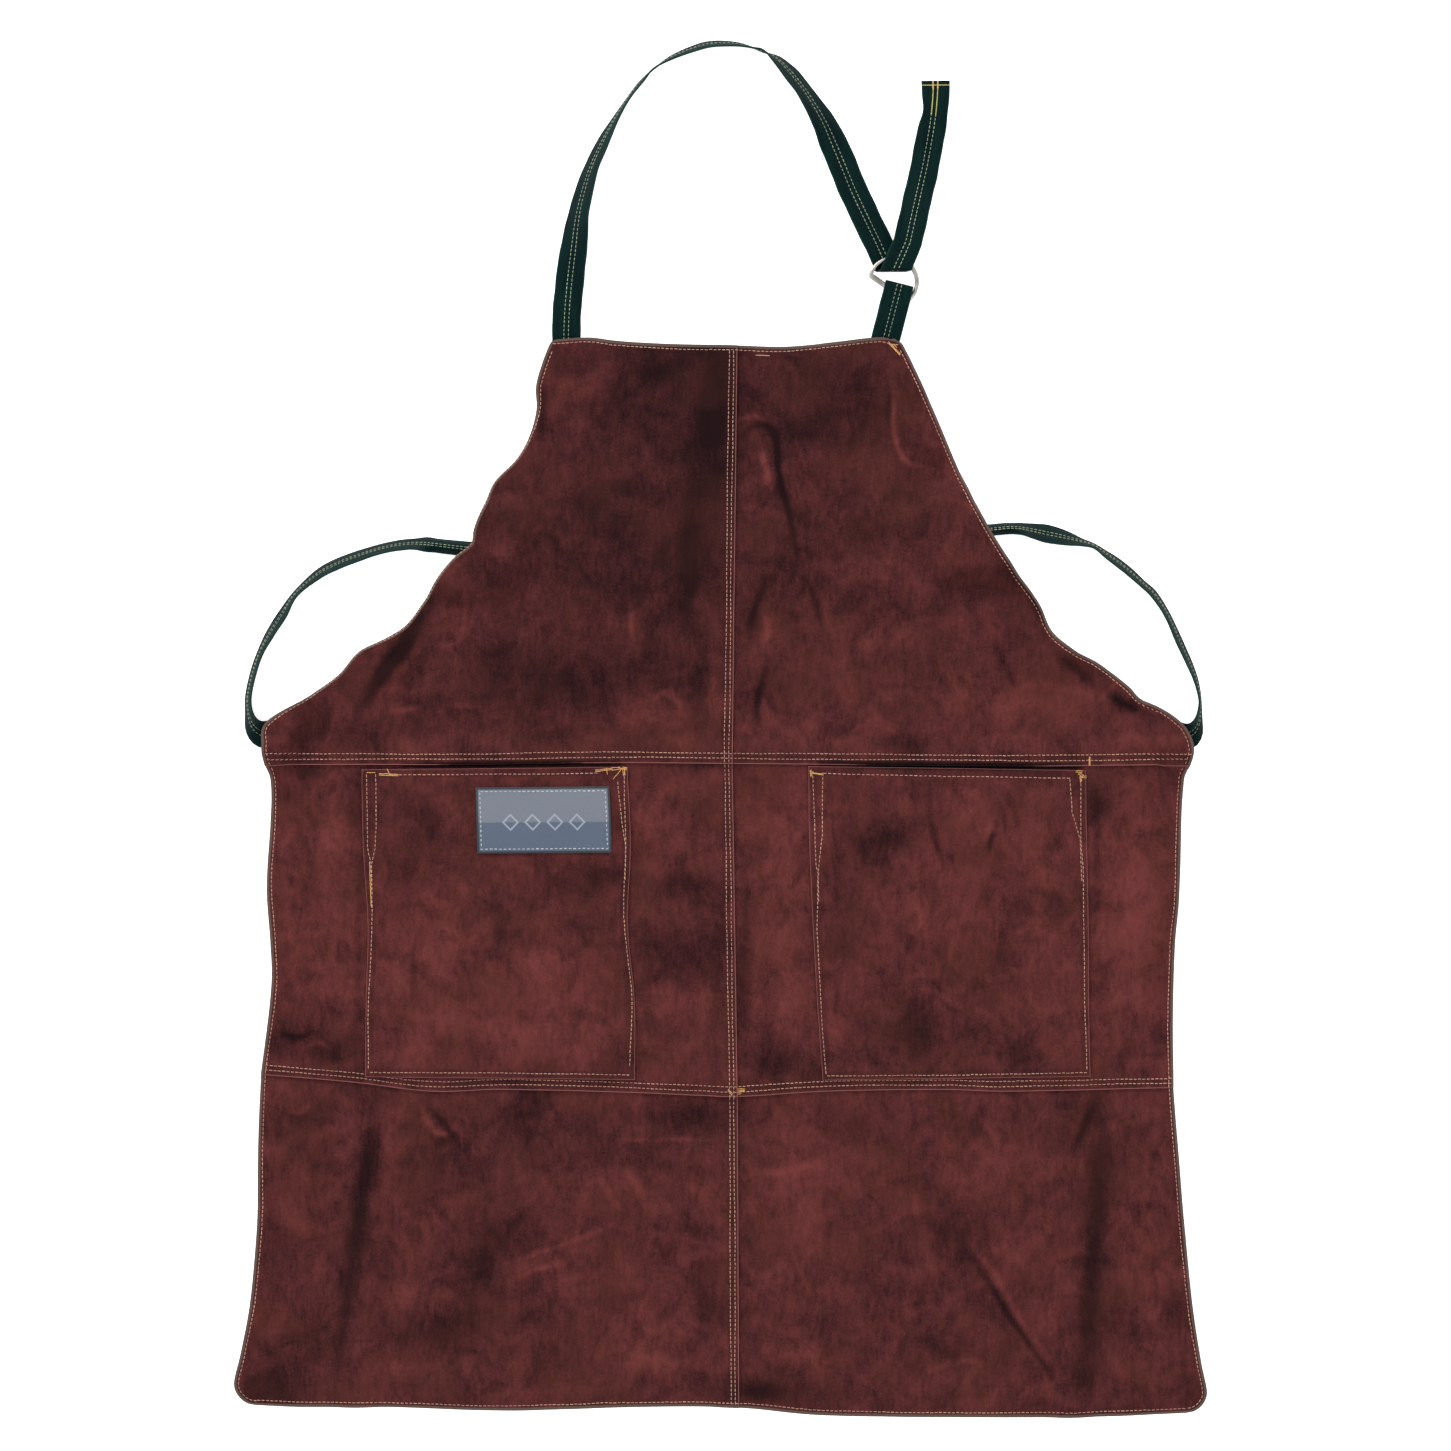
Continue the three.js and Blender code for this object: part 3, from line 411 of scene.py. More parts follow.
def sections_at(points, headings, roll, lift):
    """The middle, the edge vector and the face vector of each section."""
    turn = np.radians(roll)[:, None]
    side = np.stack([headings[:, 1], -headings[:, 0], 0 * turn[:, 0]], 1)
    up = np.array([[0, 0, 1.0]])
    edge = side * np.cos(turn) + up * np.sin(turn)
    face = -side * np.sin(turn) + up * np.cos(turn)
    middle = np.column_stack([points, lift + rolled_height(roll)])
    return middle, edge * STRAP_WIDE / 2, face * STRAP_THICK / 2


def strap_stretch(stations, step=2.6):
    """Sections along the smooth curve through rows of (x, y, roll, lift)."""
    rows = np.array(stations, float)
    last = len(rows) - 1
    t = np.linspace(0, last, 60 * last + 1)
    k = np.minimum(t.astype(int), last - 1)
    before = rows[np.maximum(k - 1, 0), :2]
    start, end = rows[k, :2], rows[k + 1, :2]
    after = rows[np.minimum(k + 2, last), :2]
    w = (t - k)[:, None]
    curve = curve_between(start, end, (end - before) / 2, (after - start) / 2, w)
    run = run_of(curve)
    at = np.interp(np.linspace(0, run[-1], int(run[-1] / step) + 2), run, t)
    points = at_run(at, t, curve)
    headings = unit(np.gradient(points, axis=0))
    keyed = np.column_stack([np.arange(last + 1), rows[:, 2:]])
    roll = along(keyed, at)
    lift = np.maximum(0, along(keyed, at, 2))
    return sections_at(points, headings, roll, lift)

print("a strap on edge stands", round(float(rolled_height(90)), 1), "mm to its middle")

# %% The fold over the rings
RING_RADIUS = 16.9
RING_BAR_DROP = 5.3
RING_WIRE = 3
RING_LOW = STRAP_PITCH + RING_WIRE / 2
RING_HIGH = RING_LOW + RING_WIRE + GAP
OVER_LIFT = RING_HIGH + RING_WIRE / 2 + GAP
FOLD_BEND = STRAP_THICK / 2 + 0.6


def fold_back(crease, out, drift, steps=7):
    """A strap turned back on itself: out points to the crease, drift is its slip sideways."""
    side = np.array([out[1], -out[0], 0])
    ahead = np.array([out[0], out[1], 0])
    low = STRAP_THICK / 2
    high = OVER_LIFT + low
    inner = -low - FOLD_BEND
    climb = high - low - 2 * FOLD_BEND
    profile = [(inner - STRAP_WIDE / 2, low, 0, -STRAP_WIDE / 2)]
    for start, base, climbed in ((0, low, 0), (90, high - 2 * FOLD_BEND, climb)):
        for angle in np.linspace(start, start + 90, steps):
            turn = math.radians(angle)
            profile.append((inner + FOLD_BEND * math.sin(turn),
                            base + FOLD_BEND * (1 - math.cos(turn)),
                            angle, FOLD_BEND * turn + climbed))
    profile.append((inner - STRAP_WIDE / 2, high, 180,
                    FOLD_BEND * math.pi + climb + STRAP_WIDE / 2))
    half = (FOLD_BEND * math.pi + climb) / 2
    middles, edges, faces = [], [], []
    for distance, z, angle, run in profile:
        turn = math.radians(angle)
        middle = np.array([crease[0], crease[1], z]) + ahead * distance
        middles.append(middle + side * drift * (run - half))
        edges.append(side * STRAP_WIDE / 2 * math.hypot(1, drift))
        faces.append((np.array([0, 0, math.cos(turn)]) - ahead * math.sin(turn)) * STRAP_THICK / 2)
    return np.array(middles), np.array(edges), np.array(faces)


def join_sections(*parts):
    return tuple(np.concatenate(group) for group in zip(*parts))

print("the strap lies", round(OVER_LIFT, 1), "mm up where it crosses the rings")

# %% The neck strap and the ring strap
NECK_RISE = 210
BIB_WIDTH = 2 * TOP.half
BIB_LEFT_X = TOP.shift - TOP.half
BIB_RIGHT_X = TOP.shift + TOP.half
BIB_TOP_Y = BIB_HEIGHT + 3
STRAP_ROOT = 15
RING_STRAP_LENGTH = 41.5
TAIL_LENGTH = 141

# Rows of (across, up, roll): across runs over the bib's width, up over the rise of the loop.
RISING = [
    (0.042, 0.051, 0), (0.049, 0.173, 0), (0.062, 0.296, 14), (0.077, 0.418, 40), (0.093, 0.5, 47),
    (0.115, 0.582, 56), (0.146, 0.663, 60), (0.183, 0.745, 72), (0.219, 0.813, 78),
    (0.259, 0.874, 77), (0.292, 0.915, 82), (0.341, 0.952, 74), (0.398, 0.981, 69), (0.456, 1, 68),
]
FALLING = [
    (0.527, 1, 72), (0.576, 0.984, 79), (0.607, 0.969, 84), (0.642, 0.937, 67), (0.67, 0.897, 57),
    (0.693, 0.857, 52), (0.731, 0.78, 50), (0.778, 0.664, 32), (0.812, 0.556, 8),
    (0.842, 0.448, 0), (0.871, 0.341, 0),
]
# Rows of (right, up, lift) from the crease, as shares of the tail and of the crossing's height.
TAIL = [
    (0.107, 0.3, 0.8), (0.135, 0.42, 0.25), (0.162, 0.54, 0), (0.184, 0.66, 0), (0.203, 0.78, 0),
    (0.214, 0.9, 0), (0.215, 0.97, 0),
]

lean = math.radians(14.3)
ring_heading = np.array([math.sin(lean), math.cos(lean)])
ring_start = np.array([BIB_RIGHT_X - 11, BIB_TOP_Y])
ring_crease = ring_start + ring_heading * RING_STRAP_LENGTH
ring_slide = RING_RADIUS - (STRAP_WIDE + RING_WIRE) / 2 - 0.4
ring_centre = ring_crease + np.array([-ring_heading[1], ring_heading[0]]) * ring_slide
neck_crease = ring_centre + (0, 7.5)
NECK_DRIFT = -0.44


def neck_sections():
    stations = [(BIB_LEFT_X + 0.042 * BIB_WIDTH, BIB_TOP_Y - STRAP_ROOT, 0, 0)]
    for across, up, roll in RISING:
        stations.append((BIB_LEFT_X + across * BIB_WIDTH, BIB_TOP_Y + up * NECK_RISE, roll, 0))
    for across, up, roll in FALLING:
        y = mix(neck_crease[1], BIB_TOP_Y + NECK_RISE, up)
        stations.append((BIB_LEFT_X + across * BIB_WIDTH, y, roll, 0))
    fold = fold_back(neck_crease, (0, -1), NECK_DRIFT)
    run = np.array([-NECK_DRIFT, -1]) / math.hypot(NECK_DRIFT, 1)
    first, last = fold[0][0], fold[0][-1]
    stations.append((first[0] - run[0] * 9, first[1] - run[1] * 9, 0, 0))
    tail = [(last[0] + run[0] * 9, last[1] - run[1] * 9, 180, OVER_LIFT)]
    for right, up, lift in TAIL:
        x, y = neck_crease + np.array([right, up]) * TAIL_LENGTH
        tail.append((x, y, 180, lift * OVER_LIFT))
    return join_sections(strap_stretch(stations), fold, strap_stretch(tail))


def ring_strap_sections():
    fold = fold_back(ring_crease, ring_heading, 0)
    root = ring_start - ring_heading * STRAP_ROOT
    near = fold[0][0][:2] - ring_heading * 2
    halfway = mix(near, ring_start, 0.5)
    seat = ring_start + ring_heading * 4
    under = strap_stretch([(*root, 0, 0), (*near, 0, 0)])
    over = strap_stretch([
        (*near, 180, OVER_LIFT), (*halfway, 180, mix(OVER_LIFT, STRAP_PITCH, 0.5)),
        (*seat, 180, STRAP_PITCH), (*root, 180, STRAP_PITCH),
    ])
    return join_sections(under, fold, over)

neck_strap = neck_sections()
ring_strap = ring_strap_sections()
print("the neck strap has", len(neck_strap[0]), "sections")

# %% The waist ties
# Rows of (out, up, roll): out is a share of half the waist's width, up of the bib's height.
LEFT_TIE = [
    (0.93, 0.068, 0), (0.965, 0.069, 0), (0.992, 0.071, 8), (1.011, 0.088, 42), (1.02, 0.118, 66),
    (1.022, 0.16, 71), (1.011, 0.217, 71), (0.996, 0.265, 71), (0.974, 0.311, 66),
    (0.948, 0.356, 65), (0.92, 0.404, 73), (0.87, 0.452, 66), (0.826, 0.477, 64),
    (0.783, 0.495, 65), (0.739, 0.51, 67), (0.696, 0.52, 66), (0.653, 0.523, 62), (0.6, 0.518, 22),
    (0.561, 0.514, 0), (0.5, 0.506, 0), (0.4, 0.474, 0), (0.283, 0.409, 0), (0.153, 0.306, 0),
]
RIGHT_TIE = [
    (0.955, 0.065, 0), (0.985, 0.065, 0), (1.009, 0.067, 6), (1.025, 0.081, 42),
    (1.033, 0.106, 68), (1.036, 0.14, 78), (1.034, 0.165, 78), (1.027, 0.198, 75),
    (1.015, 0.233, 72), (0.991, 0.291, 70), (0.966, 0.352, 72), (0.937, 0.402, 70),
    (0.911, 0.429, 71), (0.885, 0.455, 69), (0.859, 0.478, 69), (0.833, 0.498, 72),
    (0.807, 0.518, 77), (0.781, 0.527, 72), (0.755, 0.535, 60), (0.729, 0.542, 51),
    (0.703, 0.548, 48), (0.676, 0.554, 55), (0.65, 0.559, 60), (0.62, 0.56, 42), (0.59, 0.558, 14),
    (0.55, 0.556, 0), (0.5, 0.549, 0), (0.39, 0.509, 0), (0.26, 0.437, 0), (0.14, 0.354, 0),
]


def tie_sections(table, side):
    half = WAIST_LINE.half
    return strap_stretch([(side * out * half, up * BIB_HEIGHT, -side * roll, 0)
                          for out, up, roll in table])

left_tie = tie_sections(LEFT_TIE, -1)
right_tie = tie_sections(RIGHT_TIE, 1)
for label, sections in (("neck strap", neck_strap), ("ring strap", ring_strap),
                        ("left tie", left_tie), ("right tie", right_tie)):
    print(label, round(float(run_of(sections[0])[-1])), "mm long")

# %% The ties drawn together at the armholes
TUCK_EASE = 14


def tuck(sections, start, end, squeeze, high):
    """The sections drawn into a narrow arch between two places along the strap.

    squeeze is the share of the width that goes, and high is the arch's height. A section that
    is turned on edge already gets less of both."""
    middle, edge, face = sections
    run = run_of(middle)
    held = smooth_step((run - start) / TUCK_EASE) * smooth_step((end - run) / TUCK_EASE)
    held = held * np.abs(unit(face)[:, 2])
    raised = middle + np.column_stack([0 * held, 0 * held, high * held])
    return (raised, edge * (1 - squeeze * held)[:, None], face), high * held

left_tie, left_arch = tuck(left_tie, 230, 292, squeeze=0.48, high=8.0)
right_tie, right_arch = tuck(right_tie, 234, 297, squeeze=0.6, high=8.8)
for side, tie in (("left", left_tie), ("right", right_tie)):
    narrowest = 2 * np.linalg.norm(tie[1], axis=1).min()
    print("the", side, "tie is drawn in to", round(narrowest, 1), "mm")

# %% [markdown]
# ## The ground under the leather
#
# A hide never lies dead flat. It rises over the strap ends that run under it, keeps a few soft
# folds from storage, and wavers a little everywhere. One function gives that ground at any
# place, and all panels use it, so they stay a hair apart from each other in every lap.

# %% Folds and waves
FOLD_HEIGHT = 7
FOLD_REACH = 40
FADE_SHARE = 0.3

# Rows of (row, from, to, reach, rise). The places are (across, down) shares, and reach and rise
# are shares of the two sizes above.
FOLDS = [
    (BIB, (-0.4, 0.05), (-0.25, 0.72), 0.95, 0.6),
    (BIB, (0.38, 0.05), (0.2, 0.66), 0.8, 0.5),
    (BIB, (0.82, 0.1), (0.78, 0.42), 0.45, 0.55),
    (BIB, (-1.05, 0.15), (-0.6, 0.32), 0.5, 0.5),
    (BIB, (-1.1, 0.64), (-0.8, 0.84), 0.55, 0.9),
    (BIB, (1.1, 0.66), (0.72, 0.84), 0.55, 0.8),
    (BIB, (1.08, 0.8), (0.76, 0.88), 0.4, 0.5),
    (WAIST, (-0.97, 0.1), (-0.94, 0.86), 0.5, 0.5),
    (WAIST, (0.98, 0.12), (0.95, 0.84), 0.45, 0.45),
    (SKIRT, (-0.76, 0.05), (-0.8, 1.15), 0.62, 1),
    (SKIRT, (0.83, 0.05), (0.73, 1.15), 0.58, 1),
    (SKIRT, (0.5, 0.4), (0.7, 1), 0.5, 0.6),
    (SKIRT, (-0.45, 0.1), (-0.52, 1), 1, 0.4),
    (SKIRT, (0.22, 0.12), (0.3, 1), 1, 0.45),
]


def beside(x, y, start, end):
    """The share along a line and the distance from it."""
    run = np.subtract(end, start)
    share = ((x - start[0]) * run[0] + (y - start[1]) * run[1]) / (run @ run)
    held = np.clip(share, 0, 1)
    return share, np.hypot(x - start[0] - held * run[0], y - start[1] - held * run[1])


def folds_at(x, y):
    height = np.zeros_like(x)
    for row, start, end, reach_share, rise in FOLDS:
        places = [np.array(place(row, down, across * reach(row, down, across)), float)
                  for across, down in (start, end)]
        share, distance = beside(x, y, *places)
        near = np.clip(distance / (reach_share * FOLD_REACH), 0, 1)
        crest = rise * FOLD_HEIGHT * up_and_down(share, FADE_SHARE)
        height += crest * (0.5 + 0.5 * np.cos(np.pi * near))
    return height

# Rows of (wavelength, direction in degrees, phase, height): slow wavers of the whole hide.
WAVES = [
    (96, 12, 0.3, 0.32), (71, 58, 1.9, 0.26), (53, 101, 4.0, 0.20), (41, 147, 2.6, 0.15),
    (118, 80, 5.2, 0.35), (33, 31, 0.9, 0.10),
]


def waves_at(x, y):
    height = np.zeros_like(x)
    for length, direction, phase, rise in WAVES:
        turn = math.radians(direction)
        run = (x * math.cos(turn) + y * math.sin(turn)) / length
        height += rise * (1 + np.sin(2 * np.pi * run + phase + 0.8 * np.sin(y / 57)))
    return height

print("folds:", len(FOLDS), "and waves:", len(WAVES))

# %% Rising over the straps
LIFT_REACH = 20
LIFT_FADE = 18
EDGE_MARGIN = 3


def inside_bib(x, y):
    down = (BIB_HEIGHT + EDGE_MARGIN - y) / BIB_HEIGHT
    left, _, right = row_ends(BIB, np.clip(down, 0.02, 1))
    return (down >= 0) & (down <= 1) & (x > left - EDGE_MARGIN) & (x < right + EDGE_MARGIN)


def crests_of(sections):
    middle, edge, face = sections
    crests = []
    for share in (-1, 0, 1):
        spot = middle + edge * share
        crests.append(np.column_stack([spot[:, :2], spot[:, 2] + np.abs(face[:, 2]) + GAP]))
    return np.concatenate(crests)

humps = np.concatenate([crests_of(s) for s in (neck_strap, ring_strap, left_tie, right_tie)])
humps = humps[inside_bib(humps[:, 0], humps[:, 1])]


def lift_at(x, y):
    height = np.zeros_like(x)
    far = LIFT_REACH + LIFT_FADE
    for spot_x, spot_y, top in humps:
        near = (np.abs(x - spot_x) < far) & (np.abs(y - spot_y) < far)
        distance = np.hypot(x[near] - spot_x, y[near] - spot_y)
        rise = top * (1 - smooth_step((distance - LIFT_REACH) / LIFT_FADE))
        height[near] = np.maximum(height[near], rise)
    return height


def ground_at(x, y):
    return lift_at(x, y) + folds_at(x, y) + waves_at(x, y)

print("strap crests under the leather:", len(humps))

# %% [markdown]
# ## Suede
#
# Split leather has no grain skin. Its face is a short nap, brushed light one way and dark the
# other, so it shows slow blots, hand-sized smudges and a fine velvet speckle at the same time.
# A chart of the largest smudges and creases is worked out per vertex, and noise of five sizes
# adds the rest. Part of the chart is painted light and shade: shade along fold valleys and dark
# creases, beside the bib's centre seam and the left pocket, and in the slits under the bib's edge,
# and light along the light creases' ridges. The sewn outer edge is rubbed to a greyish brown, and
# raw laps show pale.

# %% The chart of smudges and painted shade
# Rows of (x, y, half length, half width, direction in degrees, tone), in millimetres of the
# drawing. Tone below 0 is darker than the hide and above 0 lighter. The dark rows at x = -5 to
# -23 beside the bib's centre seam, the shade of a valley between two folds, and the thin dark row
# at x = -258 beside the left pocket's edge are painted shade.
SMUDGES_AND_SHADE = [
    (-165, -112, 214, 114, 0, 0.13), (171, -112, 214, 114, 0, 0.15),
    (171, -362, 214, 114, 0, 0.07), (-172, -376, 214, 93, 0, 0.03),
    (-58, 195, 136, 64, 88, -0.36), (-8, 231, 86, 17, 88, -0.46), (-5, 259, 33, 9, 88, -0.36),
    (-23, 146, 46, 7, 88, -0.5), (-15, 52, 33, 6, 86, -0.4), (71, 259, 43, 64, 88, -0.4),
    (57, 239, 20, 10, 20, -0.35), (92, 145, 79, 57, 88, -0.06), (139, 209, 50, 9, 98, -0.15),
    (-129, 59, 79, 31, 10, -0.36), (-47, 36, 31, 13, 8, 0.3), (-279, 20, 57, 11, 12, -0.12),
    (-215, 52, 43, 19, 40, 0.05), (114, 87, 23, 9, 5, 0.32), (242, 45, 33, 14, 8, 0.36),
    (128, 15, 21, 6, 0, -0.4), (171, 41, 93, 24, 0, 0.14), (285, 18, 29, 6, 0, 0.2),
    (200, 145, 43, 16, 125, -0.3), (50, 36, 21, 19, 90, 0.12), (-58, 245, 29, 14, 20, -0.1),
    (-47, 279, 16, 9, 0, -0.35), (-86, 263, 19, 13, 70, 0.12), (-113, 19, 19, 6, 0, -0.3),
    (-65, 209, 10, 29, 88, 0.18), (-279, -55, 50, 11, 88, 0.42), (-305, -103, 19, 7, 88, 0.3),
    (-302, -195, 21, 9, 0, -0.35), (-278, -206, 11, 10, 0, -0.45), (-292, -5, 10, 6, 0, -0.5),
    (-258, -112, 107, 4, 89, -0.3), (-286, -141, 43, 20, 88, 0.2), (-218, -48, 29, 21, 88, -0.3),
    (-89, -80, 24, 12, 0, -0.4), (-209, -119, 33, 24, 60, 0.24), (-158, -116, 19, 6, 88, -0.3),
    (-128, -149, 13, 11, 0, 0.4), (-208, -194, 24, 17, 88, 0.34), (-176, -198, 19, 9, 88, -0.18),
    (-115, -184, 50, 24, 0, 0.3), (-158, -48, 43, 17, 0, -0.1), (-172, -169, 93, 43, 0, 0.12),
    (-29, -86, 21, 10, 0, -0.45), (-38, -130, 29, 20, 10, -0.5), (-54, -186, 9, 7, 0, -0.4),
    (-53, -30, 11, 29, 0, 0.18), (-2, -159, 64, 6, 89, -0.35), (-22, -198, 21, 14, 0, 0.12),
    (-29, -48, 16, 11, 0, 0.12), (16, -141, 50, 5, 89, -0.5), (26, -162, 43, 4, 89, 0.25),
    (50, -62, 16, 33, 0, 0.34), (38, -209, 14, 17, 20, -0.46), (42, -141, 14, 21, 0, 0.22),
    (50, -176, 10, 19, 0, 0.34), (110, -54, 23, 16, 30, -0.5), (84, -132, 13, 21, 0, -0.36),
    (140, -191, 19, 16, 60, -0.52), (210, -206, 9, 13, 0, -0.4), (176, -39, 17, 13, 0, 0.4),
    (80, -182, 10, 17, 0, 0.4), (189, -98, 57, 29, 20, 0.08), (297, -91, 11, 43, 0, 0.3),
    (292, -119, 26, 100, 0, 0.34), (114, -112, 21, 17, 0, -0.12), (228, -69, 17, 21, 0, 0.22),
    (171, -155, 43, 21, 0, 0.02), (271, -26, 9, 17, 0, -0.4), (-300, -251, 16, 8, 0, -0.4),
    (-300, -384, 43, 29, 88, 0.02), (-308, -426, 43, 21, 60, -0.28),
    (-323, -444, 19, 13, 0, -0.2), (-229, -262, 43, 7, 88, 0.22), (-141, -256, 19, 11, 88, -0.38),
    (-22, -252, 29, 11, 0, -0.5), (-166, -349, 29, 11, 55, -0.45),
    (-190, -401, 24, 11, 12, -0.32), (-228, -376, 29, 9, 8, 0.24), (-11, -384, 23, 8, 88, -0.4),
    (-60, -419, 43, 20, 0, 0.34), (-43, -319, 13, 6, -20, 0.4), (-115, -305, 79, 36, 0, 0.05),
    (-215, -434, 43, 14, 0, 0.22), (-86, -359, 50, 14, 15, 0.14), (-279, -305, 14, 43, 0, 0.14),
    (-3, -312, 11, 43, 0, 0.12), (-129, -451, 64, 7, 0, 0.12), (98, -255, 20, 14, 0, -0.3),
    (30, -448, 24, 8, 0, -0.8), (53, -419, 33, 6, -6, 0.34), (172, -328, 26, 17, -40, -0.36),
    (208, -356, 21, 21, 0, 0.3), (300, -376, 16, 19, 0, 0.3), (57, -298, 36, 36, 0, 0.24),
    (35, -369, 43, 21, 0, 0.1), (128, -398, 43, 21, 0, 0.06), (328, -312, 9, 57, 0, -0.2),
    (307, -312, 21, 64, 0, 0.18), (171, -444, 79, 9, 0, 0.1), (114, -348, 29, 21, 0, -0.12),
    (307, -419, 21, 29, 0, 0.02), (207, -291, 29, 21, 0, 0.12),
]


# The tone of the chart above: the hide's smudges and the painted shade among them.
def smudges_and_shade_at(x, y):
    tone = np.zeros_like(x)
    for spot_x, spot_y, long, wide, direction, strength in SMUDGES_AND_SHADE:
        turn = math.radians(direction)
        a = ((x - spot_x) * math.cos(turn) + (y - spot_y) * math.sin(turn)) / long
        b = (-(x - spot_x) * math.sin(turn) + (y - spot_y) * math.cos(turn)) / wide
        tone += strength * np.exp(-(a ** 2 + b ** 2))
    return tone

print("smudges on the chart:", len(SMUDGES_AND_SHADE))

# %% The chart of creases
# Rows of (half width, tone, points). A dark crease is a valley with painted shade along it, and a
# light one a ridge with painted light along it. The two broad dark rows on the skirt are the
# painted shade beside its long folds.
# The last two rows are the painted shadow between the bib's edge and the pockets' mouths.
CREASES = [
    (2.3, -0.9, [(14, 233), (20, 239), (28, 242), (34, 240), (39, 233), (42, 204), (51, 169),
        (55, 147)]),
    (1.9, 0.7, [(14, 246), (22, 248), (30, 246)]), (2.4, 0.8, [(28, 227), (32, 212), (35, 196)]),
    (1.9, 0.7, [(123, 269), (124, 236), (132, 216), (150, 210)]),
    (2.3, -0.5, [(120, 268), (120, 241)]), (3.0, -0.8, [(32, 131), (24, 109), (20, 92)]),
    (3.0, -0.6, [(34, 74), (26, 45), (25, 25)]), (2.6, 0.7, [(30, 108), (34, 96), (30, 85)]),
    (2.6, -0.5, [(60, 132), (68, 114), (73, 94)]), (2.9, -0.6, [(-22, 141), (-22, 116)]),
    (2.4, 0.55, [(-5, 66), (-5, 45)]), (2.4, 0.45, [(-49, 45), (-40, 51), (-32, 45), (-28, 34)]),
    (2.1, 0.5, [(-63, 116), (-64, 99), (-61, 82)]), (2.9, -0.5, [(-127, 274), (-128, 231)]),
    (5.0, -1.15, [(-208, 116), (-225, 87), (-239, 68), (-256, 41)]),
    (2.9, 0.35, [(-209, 88), (-228, 66), (-238, 44)]), (1.9, 0.5, [(-236, 37), (-214, 40)]),
    (1.9, 0.4, [(-196, 42), (-170, 41)]),
    (1.7, 0.3, [(-183, 132), (-183, 99), (-188, 87), (-211, 84)]),
    (3.6, -0.4, [(-282, 42), (-285, 12)]), (2.9, -0.5, [(-252, 20), (-242, 8)]),
    (4.3, -0.8, [(218, 136), (227, 112), (236, 94)]),
    (3.9, -0.8, [(241, 76), (253, 68), (265, 56)]),
    (4.3, -0.8, [(274, 52), (287, 43), (303, 36)]),
    (2.9, -0.4, [(195, 87), (203, 70), (212, 51)]), (2.4, 0.4, [(207, 52), (225, 57), (250, 54)]),
    (6.8, -0.62, [(-248, -235), (-250, -269), (-254, -294), (-259, -334), (-263, -367),
        (-269, -405), (-275, -449)]),
    (4.3, 0.3, [(-238, -245), (-237, -276), (-243, -319)]),
    (2.0, 0.7, [(-214, -245), (-209, -256), (-203, -263), (-195, -264), (-190, -260)]),
    (2.3, -0.55, [(-208, -245), (-199, -256), (-186, -270)]),
    (2.0, 0.5, [(-309, -245), (-302, -249), (-292, -243)]),
    (1.7, 0.45, [(-72, -269), (-36, -268), (2, -268)]),
    (2.0, 0.45, [(-74, -284), (-62, -298), (-54, -314)]), (1.9, 0.4, [(-88, -295), (-70, -321)]),
    (2.0, 0.45, [(-154, -356), (-115, -344), (-76, -329)]),
    (1.9, 0.4, [(-147, -366), (-109, -354)]),
    (7.9, -0.62, [(270, -236), (270, -278), (265, -343), (261, -405), (255, -458)]),
    (3.6, -0.8, [(268, -239), (261, -255), (252, -276)]), (3.6, 0.3, [(278, -249), (281, -275)]),
    (3.6, 0.3, [(256, -278), (261, -312)]),
    (2.3, -0.7, [(173, -344), (189, -366), (207, -396), (228, -426), (244, -448)]),
    (1.9, 0.5, [(178, -342), (195, -364), (212, -395), (235, -426)]),
    (2.0, 0.5, [(138, -305), (140, -323)]),
    (2.3, 0.55, [(150, -432), (164, -428), (180, -426), (191, -432)]),
    (2.6, 0.5, [(23, -291), (46, -291), (68, -284)]),
    (1.9, 0.45, [(185, -255), (195, -265), (198, -274)]),
    (1.9, 0.5, [(137, -93), (141, -106), (146, -121)]),
    (2.0, -0.6, [(196, -44), (192, -55), (190, -65)]), (2.0, 0.5, [(192, -41), (188, -54)]),
    (2.1, -0.4, [(146, -23), (151, -48), (158, -75)]),
    (1.9, 0.3, [(128, -159), (150, -162), (171, -172)]),
    (2.1, -0.5, [(-317, -191), (-302, -195), (-290, -191)]),
    (1.9, 0.35, [(-300, -206), (-288, -198), (-279, -204)]),
    (2.9, -0.4, [(266, -12), (268, -62), (266, -119)]),
    (1.7, -3, [(-226.1, -1.6), (-157.5, -0.4), (-73.2, 0.4)]),
    (2.0, -3, [(71.1, 0.3), (128.2, -1.1), (192.5, -1.7), (255.4, -1.9)]),
]
CREASE_DEPTH = 0.22


def smooth_line(points, step=1.5):
    """Close places on the smooth curve through a few points."""
    points = np.array(points, float)
    run = run_of(points)
    fine = np.linspace(0, run[-1], int(run[-1] / step) + 2)
    return np.column_stack([along(np.column_stack([run, column]), fine) for column in points.T])


def crease_light_and_relief(x, y):
    """The painted shade and light of all creases at each place, and how far they raise the
    leather.
    """
    tone, height = np.zeros_like(x), np.zeros_like(x)
    for wide, strength, points in CREASES:
        line = smooth_line(points)
        low, high = line.min(axis=0) - 3 * wide, line.max(axis=0) + 3 * wide
        near = (x > low[0]) & (x < high[0]) & (y > low[1]) & (y < high[1])
        away = np.hypot(x[near][:, None] - line[:, 0], y[near][:, None] - line[:, 1])
        if not away.size:
            continue
        share = away.argmin(axis=1) / (len(line) - 1)
        mark = 0.3 + 0.7 * up_and_down(share, FADE_SHARE)
        mark = mark * np.exp(-(away.min(axis=1) / wide) ** 2)
        tone[near] += strength * mark
        height[near] += CREASE_DEPTH * wide * max(-1, strength) * mark
    return tone, height


# The tone mark: the hide's smudges with the chart's painted shade and painted light.
def tone_at(x, y):
    return smudges_and_shade_at(x, y) + crease_light_and_relief(x, y)[0]


def creased(x, y, height):
    """A height with the creases pressed into it, but never through the floor."""
    return np.maximum(0, height + crease_light_and_relief(x, y)[1])

print("creases on the chart:", len(CREASES))

# %% The suede finish
suede = Finish("suede")
hide = suede.attribute("hide", output=1)
tone = suede.attribute("tone")
rim = suede.attribute("rim")
lap = suede.attribute("lap")

